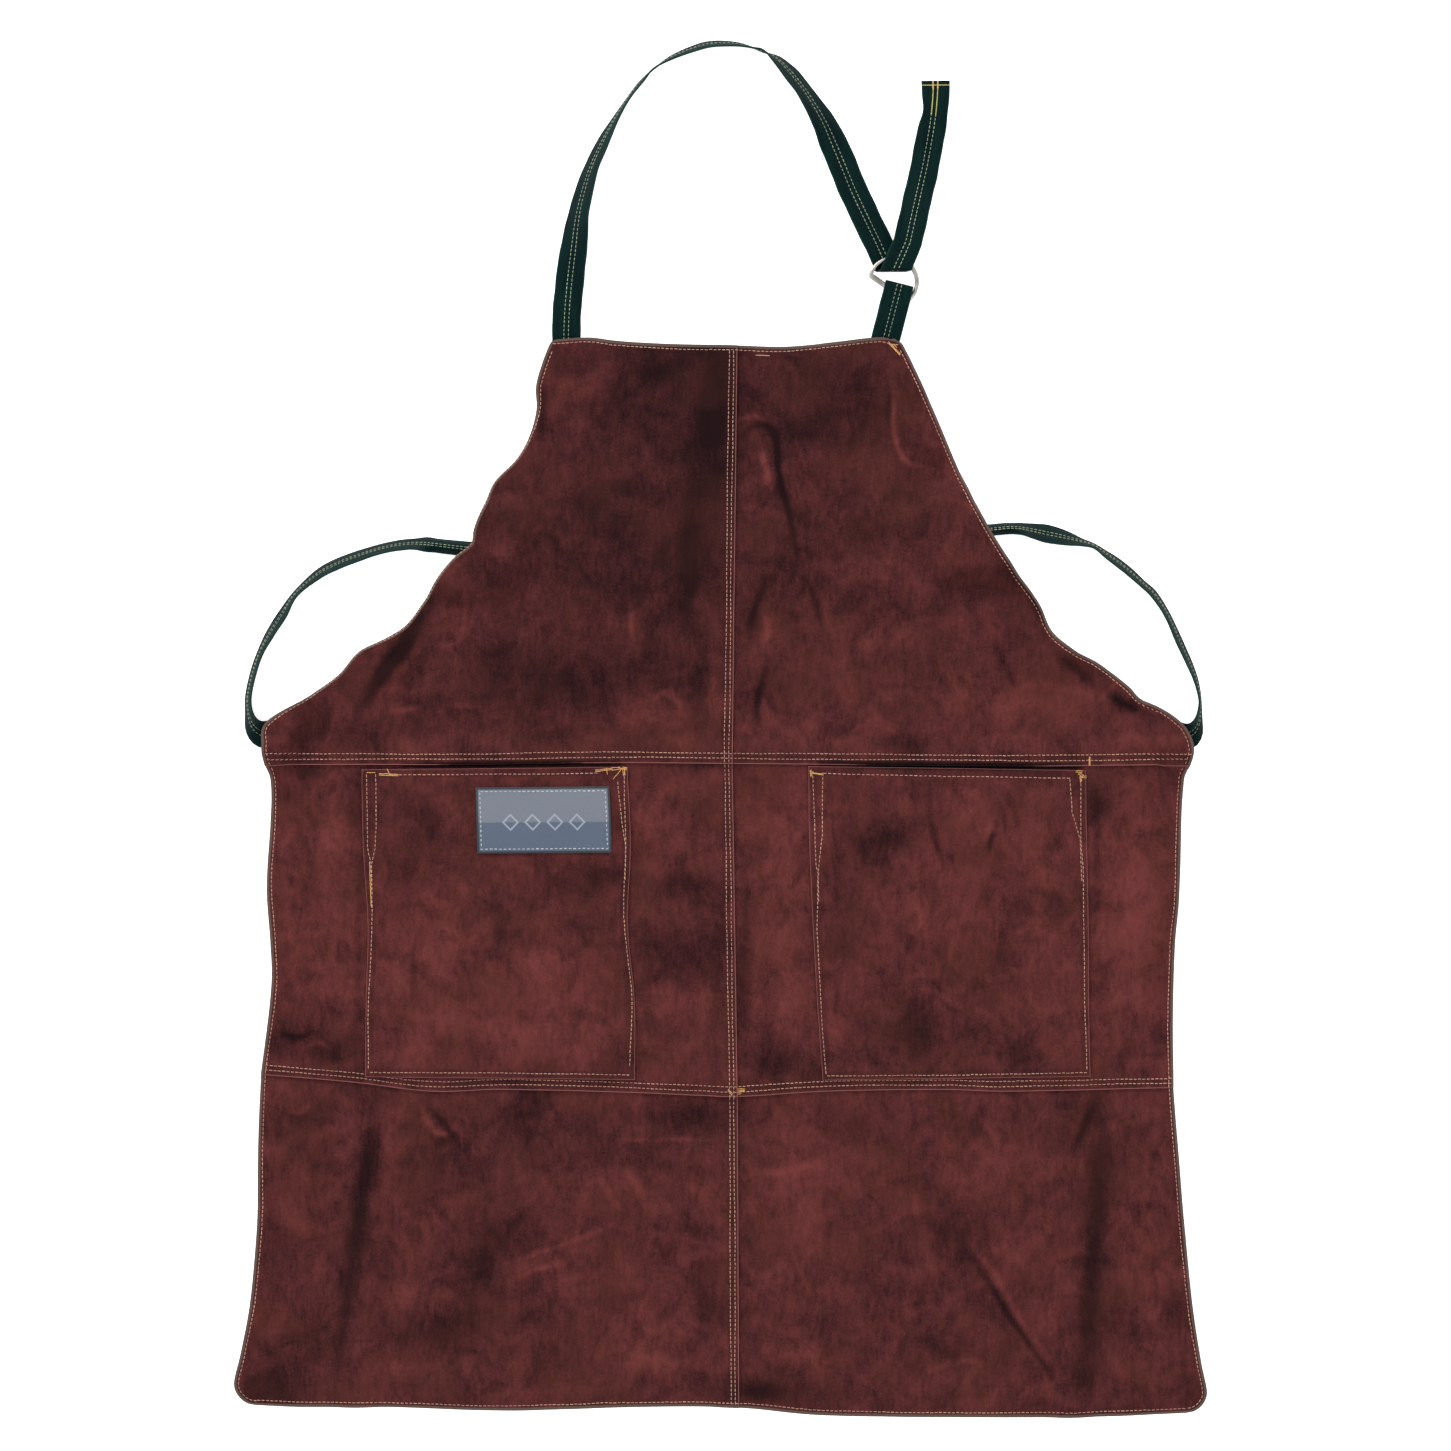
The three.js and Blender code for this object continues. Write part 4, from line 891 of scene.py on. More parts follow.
blots = suede.noise(hide, 11, detail=3)
clouds = suede.noise(hide, 42, detail=4, roughness=0.6, distortion=0.6)
brushed = suede.noise(hide, 150, detail=3, roughness=0.65, stretch=(1, 0.5, 1), distortion=0.8)
hairs = suede.noise(hide, 420, detail=2, roughness=0.6, stretch=(1, 0.22, 1))
nap = suede.noise(hide, 700, detail=3, roughness=0.6)
shade = tone * (brushed * 1.2 + clouds * 1.1 + 0.1) + (blots - 0.5) * 0.8 + (clouds - 0.5) * 1.9
shade = shade + (brushed - 0.5) * 1.1 + (hairs - 0.5) * 0.7 + (nap - 0.5) * 1.0
light_share = suede.between(shade, -1.1, 1.5)
# The hide's colour, darker or lighter with the tone mark, so it carries the chart's painted shade
# and light as well as the hide's own blots.
hide_tone_and_painted_shade = suede.blend(light_share, colour(25, 10, 13), colour(101, 49, 48))
warm = suede.between(suede.noise(hide, 23, detail=2), 0.4, 0.7)
hide_tone_and_painted_shade = suede.blend(warm * 0.3, hide_tone_and_painted_shade, colour(66, 34, 27))

raw = suede.between(lap + (nap - 0.5) * 0.4, 0.25, 0.8, 1, 0)
sewn = suede.between(lap, 1.0, 2.2) * suede.between(lap, 7.0, 9.0, 1, 0)
hide_tone_and_painted_shade = suede.blend(sewn * 0.25, hide_tone_and_painted_shade, colour(40, 17, 18))
hide_tone_and_painted_shade = suede.blend(raw * 0.65, hide_tone_and_painted_shade, colour(142, 92, 90))
rubbed = suede.between(rim + (nap - 0.5) * 1.2 + (clouds - 0.5) * 0.8, 1.5, 2.3, 1, 0)
hide_tone_and_painted_shade = suede.blend(rubbed * 0.85, hide_tone_and_painted_shade, colour(88, 74, 68))
# Painted shadow: near black where the tone falls below -1.2, as it does in the slits under the
# bib's edge above the pockets' mouths.
painted_slit_shadow = suede.between(tone, -2.2, -1.2, 1, 0)
hide_tone_and_painted_shade = suede.blend(painted_slit_shadow * 0.9, hide_tone_and_painted_shade, colour(8, 4, 5))

pile = (brushed - 0.5) * 0.5 + (hairs - 0.5) * 0.3 + (nap - 0.5) * 0.35 + (clouds - 0.5) * 0.8
suede_bump = suede.bump(pile, 0.6, 0.0012)
suede_look = suede.surface(Base_Color=hide_tone_and_painted_shade, Roughness=0.95, Normal=suede_bump, Sheen_Weight=0.1,
                           Sheen_Roughness=0.5, Sheen_Tint=colour(190, 130, 130),
                           Specular_IOR_Level=0.06)
print("suede has", len(suede.tree.nodes), "nodes")

# %% [markdown]
# ## The six panels
#
# A panel is a flat grid whose vertices are moved to their places on the drawing, closer together
# at edges and laps, and thickened upwards to the leather's 1.3 mm. Cloth simulation isn't needed,
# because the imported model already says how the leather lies. Solidify makes the cut edge.

# %% Sheets from places
def set_mark(mesh, mark, values):
    """A named number or vector at each vertex, for a finish to read."""
    kind, field = ("FLOAT_VECTOR", "vector") if values.ndim == 2 else ("FLOAT", "value")
    layer = mesh.attributes.new(mark, kind, "POINT")
    layer.data.foreach_set(field, values.ravel())


def flat_grid(name, points, marks):
    """A grid object with its vertices at points, in millimetres, and a mark for each vertex."""
    high, wide = points.shape[:2]
    bpy.ops.object.select_all(action="DESELECT")
    bpy.ops.mesh.primitive_grid_add(x_subdivisions=wide - 1, y_subdivisions=high - 1, size=1)
    piece = bpy.context.object
    piece.name = name
    mesh = piece.data
    start = np.empty(len(mesh.vertices) * 3)
    mesh.vertices.foreach_get("co", start)
    start = start.reshape(-1, 3)
    order = np.argsort(np.lexsort((start[:, 0].round(5), -start[:, 1].round(5))))
    mesh.vertices.foreach_set("co", (points.reshape(-1, 3)[order] * MM).ravel())
    for mark, values in marks.items():
        set_mark(mesh, mark, values.reshape(high * wide, *values.shape[2:])[order])
    mesh.update()
    return piece


SMOOTH_UNDER = 50


def finish_sheet(piece, thickness, look):
    """Thickens a grid upwards and shades it smooth up to its cut edges."""
    wall = piece.modifiers.new("wall", "SOLIDIFY")
    wall.thickness = thickness * MM
    wall.offset = 1
    bpy.context.view_layer.objects.active = piece
    bpy.ops.object.modifier_apply(modifier=wall.name)
    bpy.ops.object.select_all(action="DESELECT")
    piece.select_set(True)
    bpy.ops.object.shade_smooth_by_angle(angle=math.radians(SMOOTH_UNDER))
    piece.data.materials.clear()
    piece.data.materials.append(look)


def stand_in(piece, node):
    """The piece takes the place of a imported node, which never moves."""
    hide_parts(node)
    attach(piece, "root")


def suede_sheet(name, x, y, z, shift, rim_mark, lap_mark):
    """A sheet of suede for a node. shift picks its own part of the hide."""
    hide_mark = np.stack([x * MM + shift[0], y * MM + shift[1], 0 * x + shift[2]], 2)
    marks = {"hide": hide_mark, "tone": tone_at(x, y), "rim": rim_mark, "lap": lap_mark}
    piece = flat_grid(name + "_leather", np.stack([x, y, z], 2) + origin, marks)
    finish_sheet(piece, LEATHER, suede_look)
    stand_in(piece, name)
    return piece

FAR_OFF = 99
SPACING = 2
print("vertices lie about", SPACING, "mm apart")

# %% Lines of a panel
def spread(start, end, step):
    return np.linspace(start, end, max(2, int(math.ceil(abs(end - start) / step)) + 1))


def panel_downs(row, above):
    """The lines of a panel as (row, share down), from its hidden upper lap to its foot."""
    height = row.height
    if above is None:
        upper = [spread(0, 4.5, 0.5), spread(4.5, 8, 1)[1:]]
        lines = []
    else:
        upper = [spread(0, 6, 0.8), [8]]
        lines = [(above, 1 - d / above.height) for d in spread(LAP, 0, SPACING)[:-1]]
    fine = row.foot_corner + 2 if row.foot_corner else 5
    upper.append(spread(8, height - fine, SPACING)[1:])
    upper.append(spread(height - fine, height - 1.6, 1.1)[1:])
    upper.append([height - 0.8, height])
    return lines + [(row, d / height) for d in np.concatenate(upper)]


EDGE_STEPS = np.array([0, 0.7, 1.4, 2.1, 2.8, 3.7, 4.8, 6.2])
LAP_STEPS = np.array([0, 0.8, 1.6, 2.6, 3.6, 4.8, 6, 8, 10, 12, 14, 16, 18, 20, 22])


def panel_offsets(side, far, widest):
    """Offsets from the centre seam, for the left side as negative numbers."""
    count = int(widest / SPACING)
    if side < 0:
        middle = np.linspace(-far + EDGE_STEPS[-1], -LAP_STEPS[-1], count)
        return np.concatenate([-far + EDGE_STEPS[:-1], middle, -LAP_STEPS[::-1][1:]])
    seam = np.arange(-LAP, RAMP, 2.0)
    middle = np.linspace(RAMP, far - EDGE_STEPS[-1], count)
    return np.concatenate([seam, middle, far - EDGE_STEPS[::-1][1:]])

print("a panel is finest at its edge:", EDGE_STEPS.tolist())

# %% Layers in the laps
def layer_of(name, offset, foot):
    """How many layers lie under a panel. foot is the distance above its lower edge."""
    under_left = smooth_step((offset + LAP + RAMP) / RAMP)
    near_left = 1 - smooth_step(offset / RAMP)
    in_lap = 1 - smooth_step((foot - LAP) / RAMP)
    if name == "bib_right":
        return in_lap * (2 + near_left)
    if name == "bib_left":
        return 2 * in_lap + under_left * (1 + in_lap)
    if name == "waist_right":
        return 1 + in_lap * near_left
    if name == "waist_left":
        return 1 + under_left * (1 + in_lap)
    return under_left if name == "skirt_left" else np.zeros_like(offset)


def panel_sheet(name, row, above, side, shift):
    lines = panel_downs(row, above)
    widest = max(reach(line_row, down, side) for line_row, down in lines)
    grid = []
    for line_row, down in lines:
        far = reach(line_row, down, side)
        offset = panel_offsets(side, far, widest)
        x, y = place(line_row, down, offset)
        foot = (1 - down) * row.height if line_row is row else row.height
        grid.append([x, y, np.full_like(x, foot), offset, far - side * offset])
    x, y, foot, offset, inset = np.array(grid).transpose(1, 0, 2)
    outer = 0 if side < 0 else -1
    run_x, run_y = np.gradient(x[:, outer]), np.gradient(y[:, outer])
    slant = np.abs(run_x) / np.maximum(1e-6, np.hypot(run_x, run_y))
    rim_mark = inset * np.sqrt(np.maximum(0.0, 1 - slant ** 2))[:, None]
    if above is None:
        rim_mark = np.minimum(rim_mark, row.height - foot)
    lap_foot = foot
    if row.foot_corner:
        rim_mark = np.minimum(rim_mark, foot)
        lap_foot = np.full_like(foot, FAR_OFF)
    lap_mark = np.minimum(lap_foot, -offset) if side < 0 else lap_foot
    z = creased(x, y, ground_at(x, y)) + PITCH * layer_of(name, offset, lap_foot)
    piece = suede_sheet(name, x, y, z, shift, rim_mark, lap_mark)
    return piece

# The drawing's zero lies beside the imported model's origin. The left pocket shows by how much.
pocket_low, pocket_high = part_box("pocket_left")
POCKET_WIDE = 193
POCKET_HIGH = 221
POCKET_DROP = 3.2
FROM_LEFT = 66.5
FROM_RIGHT = 63
MOUTH_RISE = 0.005
waist_left_x, _, waist_right_x = [float(x) for x in row_ends(WAIST, 0.5)]
pocket_starts = {-1: waist_left_x + FROM_LEFT, 1: waist_right_x - FROM_RIGHT - POCKET_WIDE}
origin = np.array([pocket_low.x / MM - pocket_starts[-1],
                   pocket_high.y / MM + POCKET_DROP - MOUTH_RISE * POCKET_WIDE, 0])
print("the drawing's zero lies at", origin.round(2).tolist())

# %% Laying the panels, from the lowest to the highest
PANELS = [
    ("skirt_right", SKIRT, WAIST, 1, (3.1, 0.4, 1.7)),
    ("skirt_left", SKIRT, WAIST, -1, (5.3, 2.2, 0.2)),
    ("waist_right", WAIST, BIB, 1, (1.2, 6.4, 2.9)),
    ("waist_left", WAIST, BIB, -1, (7.7, 4.1, 3.3)),
    ("bib_right", BIB, None, 1, (2.6, 8.8, 4.1)),
    ("bib_left", BIB, None, -1, (9.4, 5.5, 5.2)),
]
leathers = {name: panel_sheet(name, row, above, side, shift)
            for name, row, above, side, shift in PANELS}

# %% [markdown]
# ## Pockets
#
# A patch pocket is one more piece of suede, sewn down on three sides. Its mouth has room for a
# hand, so the sheet swells a little in the middle and falls back to the apron at its stitches.

# %% Pocket shapes
POCKET_ROOM = 3.2
# Rows of (down, left, right): how far the sides stand right of a plain rectangle, as shares of
# the pocket's width.
POCKET_SIDES = {
    -1: [
        (0, 0, -0.022), (0.25, 0.005, -0.009), (0.5, 0.022, -0.02), (0.75, 0.015, 0.006),
        (1, 0.011, 0.007),
    ],
    1: [
        (0, -0.03, -0.008), (0.25, -0.026, -0.004), (0.5, -0.014, 0.002), (0.75, 0.002, 0.004),
        (1, 0.022, 0.01),
    ],
}
MOUTH_SLANT = {-1: 0.01, 1: -0.015}
FOOT_SLANT = {-1: -0.01, 1: 0.013}


def pocket_place(side, across, down):
    """The x and y of a share of a pocket's width and height."""
    left = along(POCKET_SIDES[side], down, 1)
    right = 1 + along(POCKET_SIDES[side], down, 2)
    slant = mix(MOUTH_SLANT[side], FOOT_SLANT[side], down) * (across - 0.5) * POCKET_WIDE
    x = pocket_starts[side] + mix(left, right, across) * POCKET_WIDE
    return x, -POCKET_DROP - down * POCKET_HIGH + slant


def pocket_z(x, y, across, down):
    bulge = np.sin(np.pi * np.clip(across, 0, 1)) ** 0.7 * smooth_step((1 - down) / 0.9)
    return creased(x, y, waves_at(x, y)) + 2 * PITCH + POCKET_ROOM * bulge


def steps_over(size, edge):
    """Steps over a size, as close at both its ends as the steps of edge."""
    middle = spread(edge[-1], size - edge[-1], SPACING)[1:-1]
    return np.concatenate([edge, middle, size - np.array(edge)[::-1]])

POCKET_EDGE = [0, 0.8, 1.6, 2.6, 3.6, 4.8, 6.2]


def pocket_sheet(name, side, shift):
    across, down = np.meshgrid(steps_over(POCKET_WIDE, POCKET_EDGE) / POCKET_WIDE,
                               steps_over(POCKET_HIGH, POCKET_EDGE) / POCKET_HIGH)
    x, y = pocket_place(side, across, down)
    z = pocket_z(x, y, across, down)
    from_side = np.minimum(across, 1 - across) * POCKET_WIDE
    lap_mark = 0.15 + 1.3 * np.minimum(from_side, np.minimum(down, 1 - down) * POCKET_HIGH)
    piece = suede_sheet(name, x, y, z, shift, np.full_like(x, FAR_OFF), lap_mark)
    print(name, len(piece.data.polygons), "faces")
    return piece

leathers["pocket_left"] = pocket_sheet("pocket_left", -1, (4.4, 9.6, 6.6))
leathers["pocket_right"] = pocket_sheet("pocket_right", 1, (6.1, 1.9, 7.7))

# %% [markdown]
# ## The label
#
# A woven patch sits near the pocket's mouth, pale above and slate blue below. This one carries a
# plain row of lozenges. A weave of fine ribs and a sewn border make it read as cloth.

# %% Label cloth
LABEL_WIDE = 97
LABEL_HIGH = 47
LABEL_DROP = 13.5
LABEL_INSET = 13.5

cloth = Finish("label_cloth")
spot = cloth.attribute("patch", output=1)
across_label, down_label = cloth.split(spot)
weft = (down_label * 14000).of("SINE")
warp = (across_label * 9000).of("SINE")
fleck = cloth.noise(spot, 900, detail=2)
# In metres on the label: the line between its two tones, and the row of lozenges along it.
TONE_LINE = 0.025
LOZENGE_HALF = 0.008
ROW_START = 0.0085
upper_half = cloth.between(down_label, TONE_LINE - 0.0005, TONE_LINE + 0.0005, 1, 0)
ground = cloth.blend(upper_half, colour(70, 84, 103), colour(108, 113, 123))
ground = cloth.blend((fleck - 0.5) * 0.5 + 0.2, ground, colour(86, 96, 110))
lozenge = (across_label - ROW_START).of("PINGPONG", LOZENGE_HALF)
lozenge = lozenge + (down_label - TONE_LINE).of("ABSOLUTE")
outline = cloth.between(lozenge, 0.0042, 0.0048) * cloth.between(lozenge, 0.0058, 0.0064, 1, 0)
inside = cloth.between(across_label, 0.0155, 0.0165)
inside = inside * cloth.between(across_label, 0.0805, 0.0815, 1, 0)
ground = cloth.blend(outline * inside * 0.7, ground, colour(158, 162, 176))
border = cloth.attribute("border")
ground = cloth.blend(cloth.between(border, 1.2, 2.2, 1, 0) * 0.92, ground, colour(22, 30, 38))
weave = cloth.bump(weft * 0.5 + warp * 0.3 + fleck, 0.4, 0.0004)
label_look = cloth.surface(Base_Color=ground, Roughness=0.75, Normal=weave, Sheen_Weight=0.1)
print("label cloth has", len(cloth.tree.nodes), "nodes")

# %% Sewing the label on
LABEL_EDGE = [0, 0.5, 1.2, 2.2]
LABEL_THICK = 1.0


def label_sheet():
    from_left, from_top = np.meshgrid(steps_over(LABEL_WIDE, LABEL_EDGE),
                                      steps_over(LABEL_HIGH, LABEL_EDGE))
    across = (POCKET_WIDE - LABEL_INSET - LABEL_WIDE + from_left) / POCKET_WIDE
    down = (LABEL_DROP + from_top) / POCKET_HIGH
    x, y = pocket_place(-1, across, down)
    rim_distance = np.minimum(np.minimum(from_left, LABEL_WIDE - from_left),
                              np.minimum(from_top, LABEL_HIGH - from_top))
    sink = 0.5 * (1 - smooth_step(rim_distance / 1.6))
    z = pocket_z(x, y, across, down) + PITCH - 0.05 * sink
    patch = np.stack([from_left, from_top, 0 * x], 2) * MM
    marks = {"patch": patch, "border": rim_distance}
    piece = flat_grid("label_cloth", np.stack([x, y, z], 2) + origin, marks)
    finish_sheet(piece, LABEL_THICK, label_look)
    bevel = piece.modifiers.new("rounded", "BEVEL")
    bevel.width = 0.35 * MM
    bevel.segments = 2
    bevel.limit_method = "ANGLE"
    bevel.angle_limit = math.radians(60)
    bpy.ops.object.modifier_apply(modifier=bevel.name)
    stand_in(piece, "label_patch")
    return piece

leathers["label"] = label_sheet()
print("the label has", len(leathers["label"].data.polygons), "faces")

# %% [markdown]
# ## Cotton straps
#
# The straps are folded cotton tape, almost black green, with two rows of stitches down the
# middle. Each is a closed sheet built section by section along its course. The section has
# rounded edges and two shallow grooves where the thread pulls the cloth in.

# %% Cotton
cotton = Finish("cotton_tape")
tape = cotton.attribute("tape", output=1)
along_tape, across_tape = cotton.split(tape)
rib = (across_tape * 9000 + along_tape * 2600).of("SINE")
pick = (along_tape * 12000).of("SINE")
fade = cotton.noise(tape, 90, detail=3, stretch=(0.35, 1.6, 1))
lint = cotton.noise(tape, 1500, detail=2)
green = cotton.blend(cotton.between(fade, 0.3, 0.7), colour(0, 15, 18), colour(1, 29, 28))
green = cotton.blend(cotton.between(rib, -1, 1) * 0.22, green, colour(4, 40, 36))
green = cotton.blend(cotton.between(lint, 0.62, 0.8) * 0.25, green, colour(36, 64, 56))
selvedge = cotton.between(across_tape.of("ABSOLUTE"), 0.0088, 0.0101)
green = cotton.blend(selvedge * 0.6, green, colour(12, 56, 48))
cotton_bump = cotton.bump(rib * 0.5 + pick * 0.3 + (fade - 0.5) * 2, 0.5, 0.0005)
cotton_look = cotton.surface(Base_Color=green, Roughness=0.85, Normal=cotton_bump,
                             Sheen_Weight=0.02, Sheen_Roughness=0.4, Specular_IOR_Level=0.08)
print("cotton has", len(cotton.tree.nodes), "nodes")

# %% Straps from sections
# Rows of (across, up): half of the section's outline as shares of half the strap's width and
# of half its thickness, from the left edge over the top to the right edge.
TAPE_OUTLINE = [
    (-1, 0), (-0.985, 0.55), (-0.93, 0.92), (-0.5, 1), (-0.21, 1), (-0.146, 0.72), (-0.08, 1),
    (0.08, 1), (0.146, 0.72), (0.21, 1), (0.5, 1), (0.93, 0.92), (0.985, 0.55), (1, 0),
]


def strap_piece(node, sections, pinch=0.0, arch=0.0):
    """A closed strap through its sections, with small ripples along its edges.

    pinch is how far the right edge is pulled in where the strap's end is sewn over, and arch
    is how far each section's edges hang below its middle."""
    middle, edge, face = sections
    under = [(a, -u) for a, u in TAPE_OUTLINE[::-1][1:-1]]
    outline = np.array(TAPE_OUTLINE + under)
    run = run_of(middle)
    ripple = 0.010 * np.sin(run / 2.9) + 0.012 * np.sin(run / 5.3 + 1.1)
    left = 1 + ripple
    right = 1 + np.roll(ripple, 7) - pinch * np.exp(-((run[-1] - run - 21) / 10) ** 2)
    count = len(outline)
    side = np.where(outline[None, :, 0] < 0, left[:, None], right[:, None]) * outline[None, :, 0]
    rings = (middle[:, None] + edge[:, None] * side[:, :, None]
             + face[:, None] * outline[None, :, 1, None])
    rings[:, :, 2] -= np.broadcast_to(arch, len(middle))[:, None] * outline[None, :, 0] ** 2
    k, c = np.meshgrid(np.arange(len(middle) - 1), np.arange(count), indexing="ij")
    here, after = k * count, (k + 1) * count
    next_c = (c + 1) % count
    faces = np.stack([here + c, here + next_c, after + next_c, after + c], 2)
    faces = faces.reshape(-1, 4).tolist()
    end = (len(middle) - 1) * count
    faces.append(list(range(count))[::-1])
    faces.append([end + c for c in range(count)])
    mesh = bpy.data.meshes.new(node + "_cotton")
    mesh.from_pydata(((rings.reshape(-1, 3) + origin) * MM).tolist(), [], faces)
    tape_mark = np.empty((len(middle), count, 3))
    tape_mark[:, :, 0] = run[:, None]
    tape_mark[:, :, 1] = outline[None, :, 0] * STRAP_WIDE / 2
    tape_mark[:, :, 2] = np.where(outline[None, :, 1] < 0, 40, 0)
    set_mark(mesh, "tape", tape_mark.reshape(-1, 3) * MM)
    piece = bpy.data.objects.new(node + "_cotton", mesh)
    bpy.context.scene.collection.objects.link(piece)
    mesh.materials.append(cotton_look)
    bpy.ops.object.select_all(action="DESELECT")
    piece.select_set(True)
    bpy.context.view_layer.objects.active = piece
    bpy.ops.object.mode_set(mode="EDIT")
    bpy.ops.mesh.select_all(action="SELECT")
    bpy.ops.mesh.normals_make_consistent(inside=False)
    bpy.ops.object.mode_set(mode="OBJECT")
    bpy.ops.object.shade_smooth_by_angle(angle=math.radians(60))
    stand_in(piece, node)
    print(node, round(float(run[-1])), "mm,", len(mesh.polygons), "faces")

strap_piece("neck_strap", neck_strap, pinch=0.24)
strap_piece("ring_strap", ring_strap)
strap_piece("waist_tie_left", left_tie, arch=left_arch)
strap_piece("waist_tie_right", right_tie, arch=right_arch)

# %% [markdown]
# ## D-rings
#
# Two wire rings hold the neck strap at its length. A D-ring is bent from one round wire: a wide
# bow, two tight corners and a straight bar. Spin does the same to a small circle, once for the
# bow and once for each corner, and a bridge between the last two loops makes the bar.

# %% Nickel
nickel = Finish("satin_nickel")
metal_place = nickel.node("TexCoord", output=3)
scratches = nickel.noise(metal_place, 900, detail=3, stretch=(1, 0.2, 1))
tarnish = nickel.noise(metal_place, 120, detail=2)
metal = nickel.blend(nickel.between(tarnish, 0.35, 0.7),
                     colour(170, 168, 162), colour(126, 123, 116))
nickel_look = nickel.surface(Base_Color=metal, Metallic=1.0,
                             Roughness=nickel.between(scratches, 0.2, 0.8, 0.22, 0.42),
                             Normal=nickel.bump(scratches, 0.15, 0.0001))
print("nickel has", len(nickel.tree.nodes), "nodes")

# %% Bending a ring
CORNER_BEND = 2.2
corner_y = CORNER_BEND - RING_BAR_DROP
corner_x = math.sqrt((RING_RADIUS - CORNER_BEND) ** 2 - corner_y ** 2)
bow_start = math.atan2(corner_y, corner_x)


def select_near(piece, places, radius):
    """Selects the vertices within radius of any of the places, in edit mode."""
    bpy.ops.mesh.select_all(action="DESELECT")
    bpy.ops.object.mode_set(mode="OBJECT")
    for vertex in piece.data.vertices:
        vertex.select = any((vertex.co - Vector(at)).length < radius for at in places)
    bpy.ops.object.mode_set(mode="EDIT")


def bend_ring(node, height, tilt):
    wire = RING_WIRE / 2 * MM
    bpy.ops.object.select_all(action="DESELECT")
    start = Vector((math.cos(bow_start), math.sin(bow_start), 0)) * RING_RADIUS * MM
    turn = (math.pi / 2, 0, bow_start)
    bpy.ops.mesh.primitive_circle_add(vertices=14, radius=wire, location=start, rotation=turn)
    piece = bpy.context.object
    piece.name = node + "_wire"
    bpy.ops.object.transform_apply(location=True, rotation=True, scale=True)
    bpy.ops.object.mode_set(mode="EDIT")
    bpy.ops.mesh.select_all(action="SELECT")
    bow = math.pi - 2 * bow_start
    bpy.ops.mesh.spin(steps=56, angle=-bow, center=(0, 0, 0), axis=(0, 0, 1))
    corner = math.pi / 2 + bow_start
    ends = []
    for side in (1, -1):
        select_near(piece, [(side * start.x, start.y, 0)], wire * 1.05)
        centre = (side * corner_x * MM, corner_y * MM, 0)
        bpy.ops.mesh.spin(steps=7, angle=side * corner, center=centre, axis=(0, 0, 1))
        ends.append((side * corner_x * MM, -RING_BAR_DROP * MM, 0))
    select_near(piece, ends, wire * 1.05)
    bpy.ops.mesh.bridge_edge_loops(number_cuts=8)
    bpy.ops.mesh.select_all(action="SELECT")
    bpy.ops.mesh.remove_doubles(threshold=0.00002)
    bpy.ops.mesh.normals_make_consistent(inside=False)
    bpy.ops.object.mode_set(mode="OBJECT")
    piece.location = (np.array([*ring_centre, height]) + origin) * MM
    piece.rotation_euler = (0, 0, math.radians(-tilt))
    bpy.ops.object.transform_apply(location=True, rotation=True, scale=True)
    bpy.ops.object.shade_smooth()
    piece.data.materials.append(nickel_look)
    stand_in(piece, node)
    print(node, "box", [round(v / MM, 1) for v in piece.dimensions], "mm")

RING_TILT = 36
bend_ring("ring_lower", RING_LOW, RING_TILT - 3)
bend_ring("ring_upper", RING_HIGH, RING_TILT)

# %% [markdown]
# ## Thread
#
# Every seam on the real apron is a lockstitch in a thick pale thread. Thousands of stitches must
# each be light, so one stitch of 36 triangles is modelled from a small ball: it is drawn out,
# and its ends dip into the leather. Copies are set along each seam line, dropped onto the
# leather from above, and joined into one piece of thread for each kind of seam.

# %% One stitch
def model_stitch():
    """The vertices and faces of a stitch one unit long, wide and high, lying along x."""
    bpy.ops.object.select_all(action="DESELECT")
    bpy.ops.mesh.primitive_uv_sphere_add(segments=6, ring_count=4, radius=0.5,
                                         rotation=(0, math.pi / 2, 0))
    ball = bpy.context.object
    bpy.ops.object.transform_apply(location=True, rotation=True, scale=True)
    co = np.array([vertex.co[:] for vertex in ball.data.vertices])
    faces = [tuple(face.vertices) for face in ball.data.polygons]
    bpy.data.objects.remove(ball)
    co[:, 0] *= 1 + 0.15 * (np.abs(co[:, 0]) < 0.45)
    co[:, 2] -= 1.1 * co[:, 0] ** 2
    return co, faces

STITCH_CO, STITCH_FACES = model_stitch()
print("a stitch has", len(STITCH_CO), "vertices")

# %% Thread finishes
def thread_finish(name, dark, light, stain):
    thread = Finish(name)
    where = thread.node("TexCoord", output=3)
    each = thread.attribute("each")
    fluff = thread.noise(where, 1600, detail=2)
    soiled = thread.noise(where, 26, detail=2)
    tint = thread.blend(each * 0.6 + fluff * 0.4, dark, light)
    tint = thread.blend(thread.between(soiled, 0.42, 0.68) * 0.6, tint, stain)
    return thread.surface(Base_Color=tint, Roughness=0.7, Normal=thread.bump(fluff, 0.4, 0.0002),
                          Sheen_Weight=0.1)

# Rows of (dark, light, stain) colours.
THREAD_COLOURS = {
    "rose": [(148, 104, 90), (200, 156, 130), (138, 88, 80)],
    "sage": [(122, 140, 112), (176, 184, 148), (96, 122, 108)],
    "gold": [(178, 126, 60), (218, 172, 98), (180, 124, 78)],
    "white": [(146, 150, 156), (192, 196, 202), (138, 142, 152)],
    "straw": [(140, 130, 58), (196, 184, 104), (120, 122, 74)],
}
threads = {name: thread_finish("thread_" + name, *[colour(*tone) for tone in tones])
           for name, tones in THREAD_COLOURS.items()}
print("threads:", *threads)

# %% Setting stitches
depsgraph = bpy.context.evaluated_depsgraph_get()
trees = {name: BVHTree.FromObject(piece, depsgraph) for name, piece in leathers.items()}


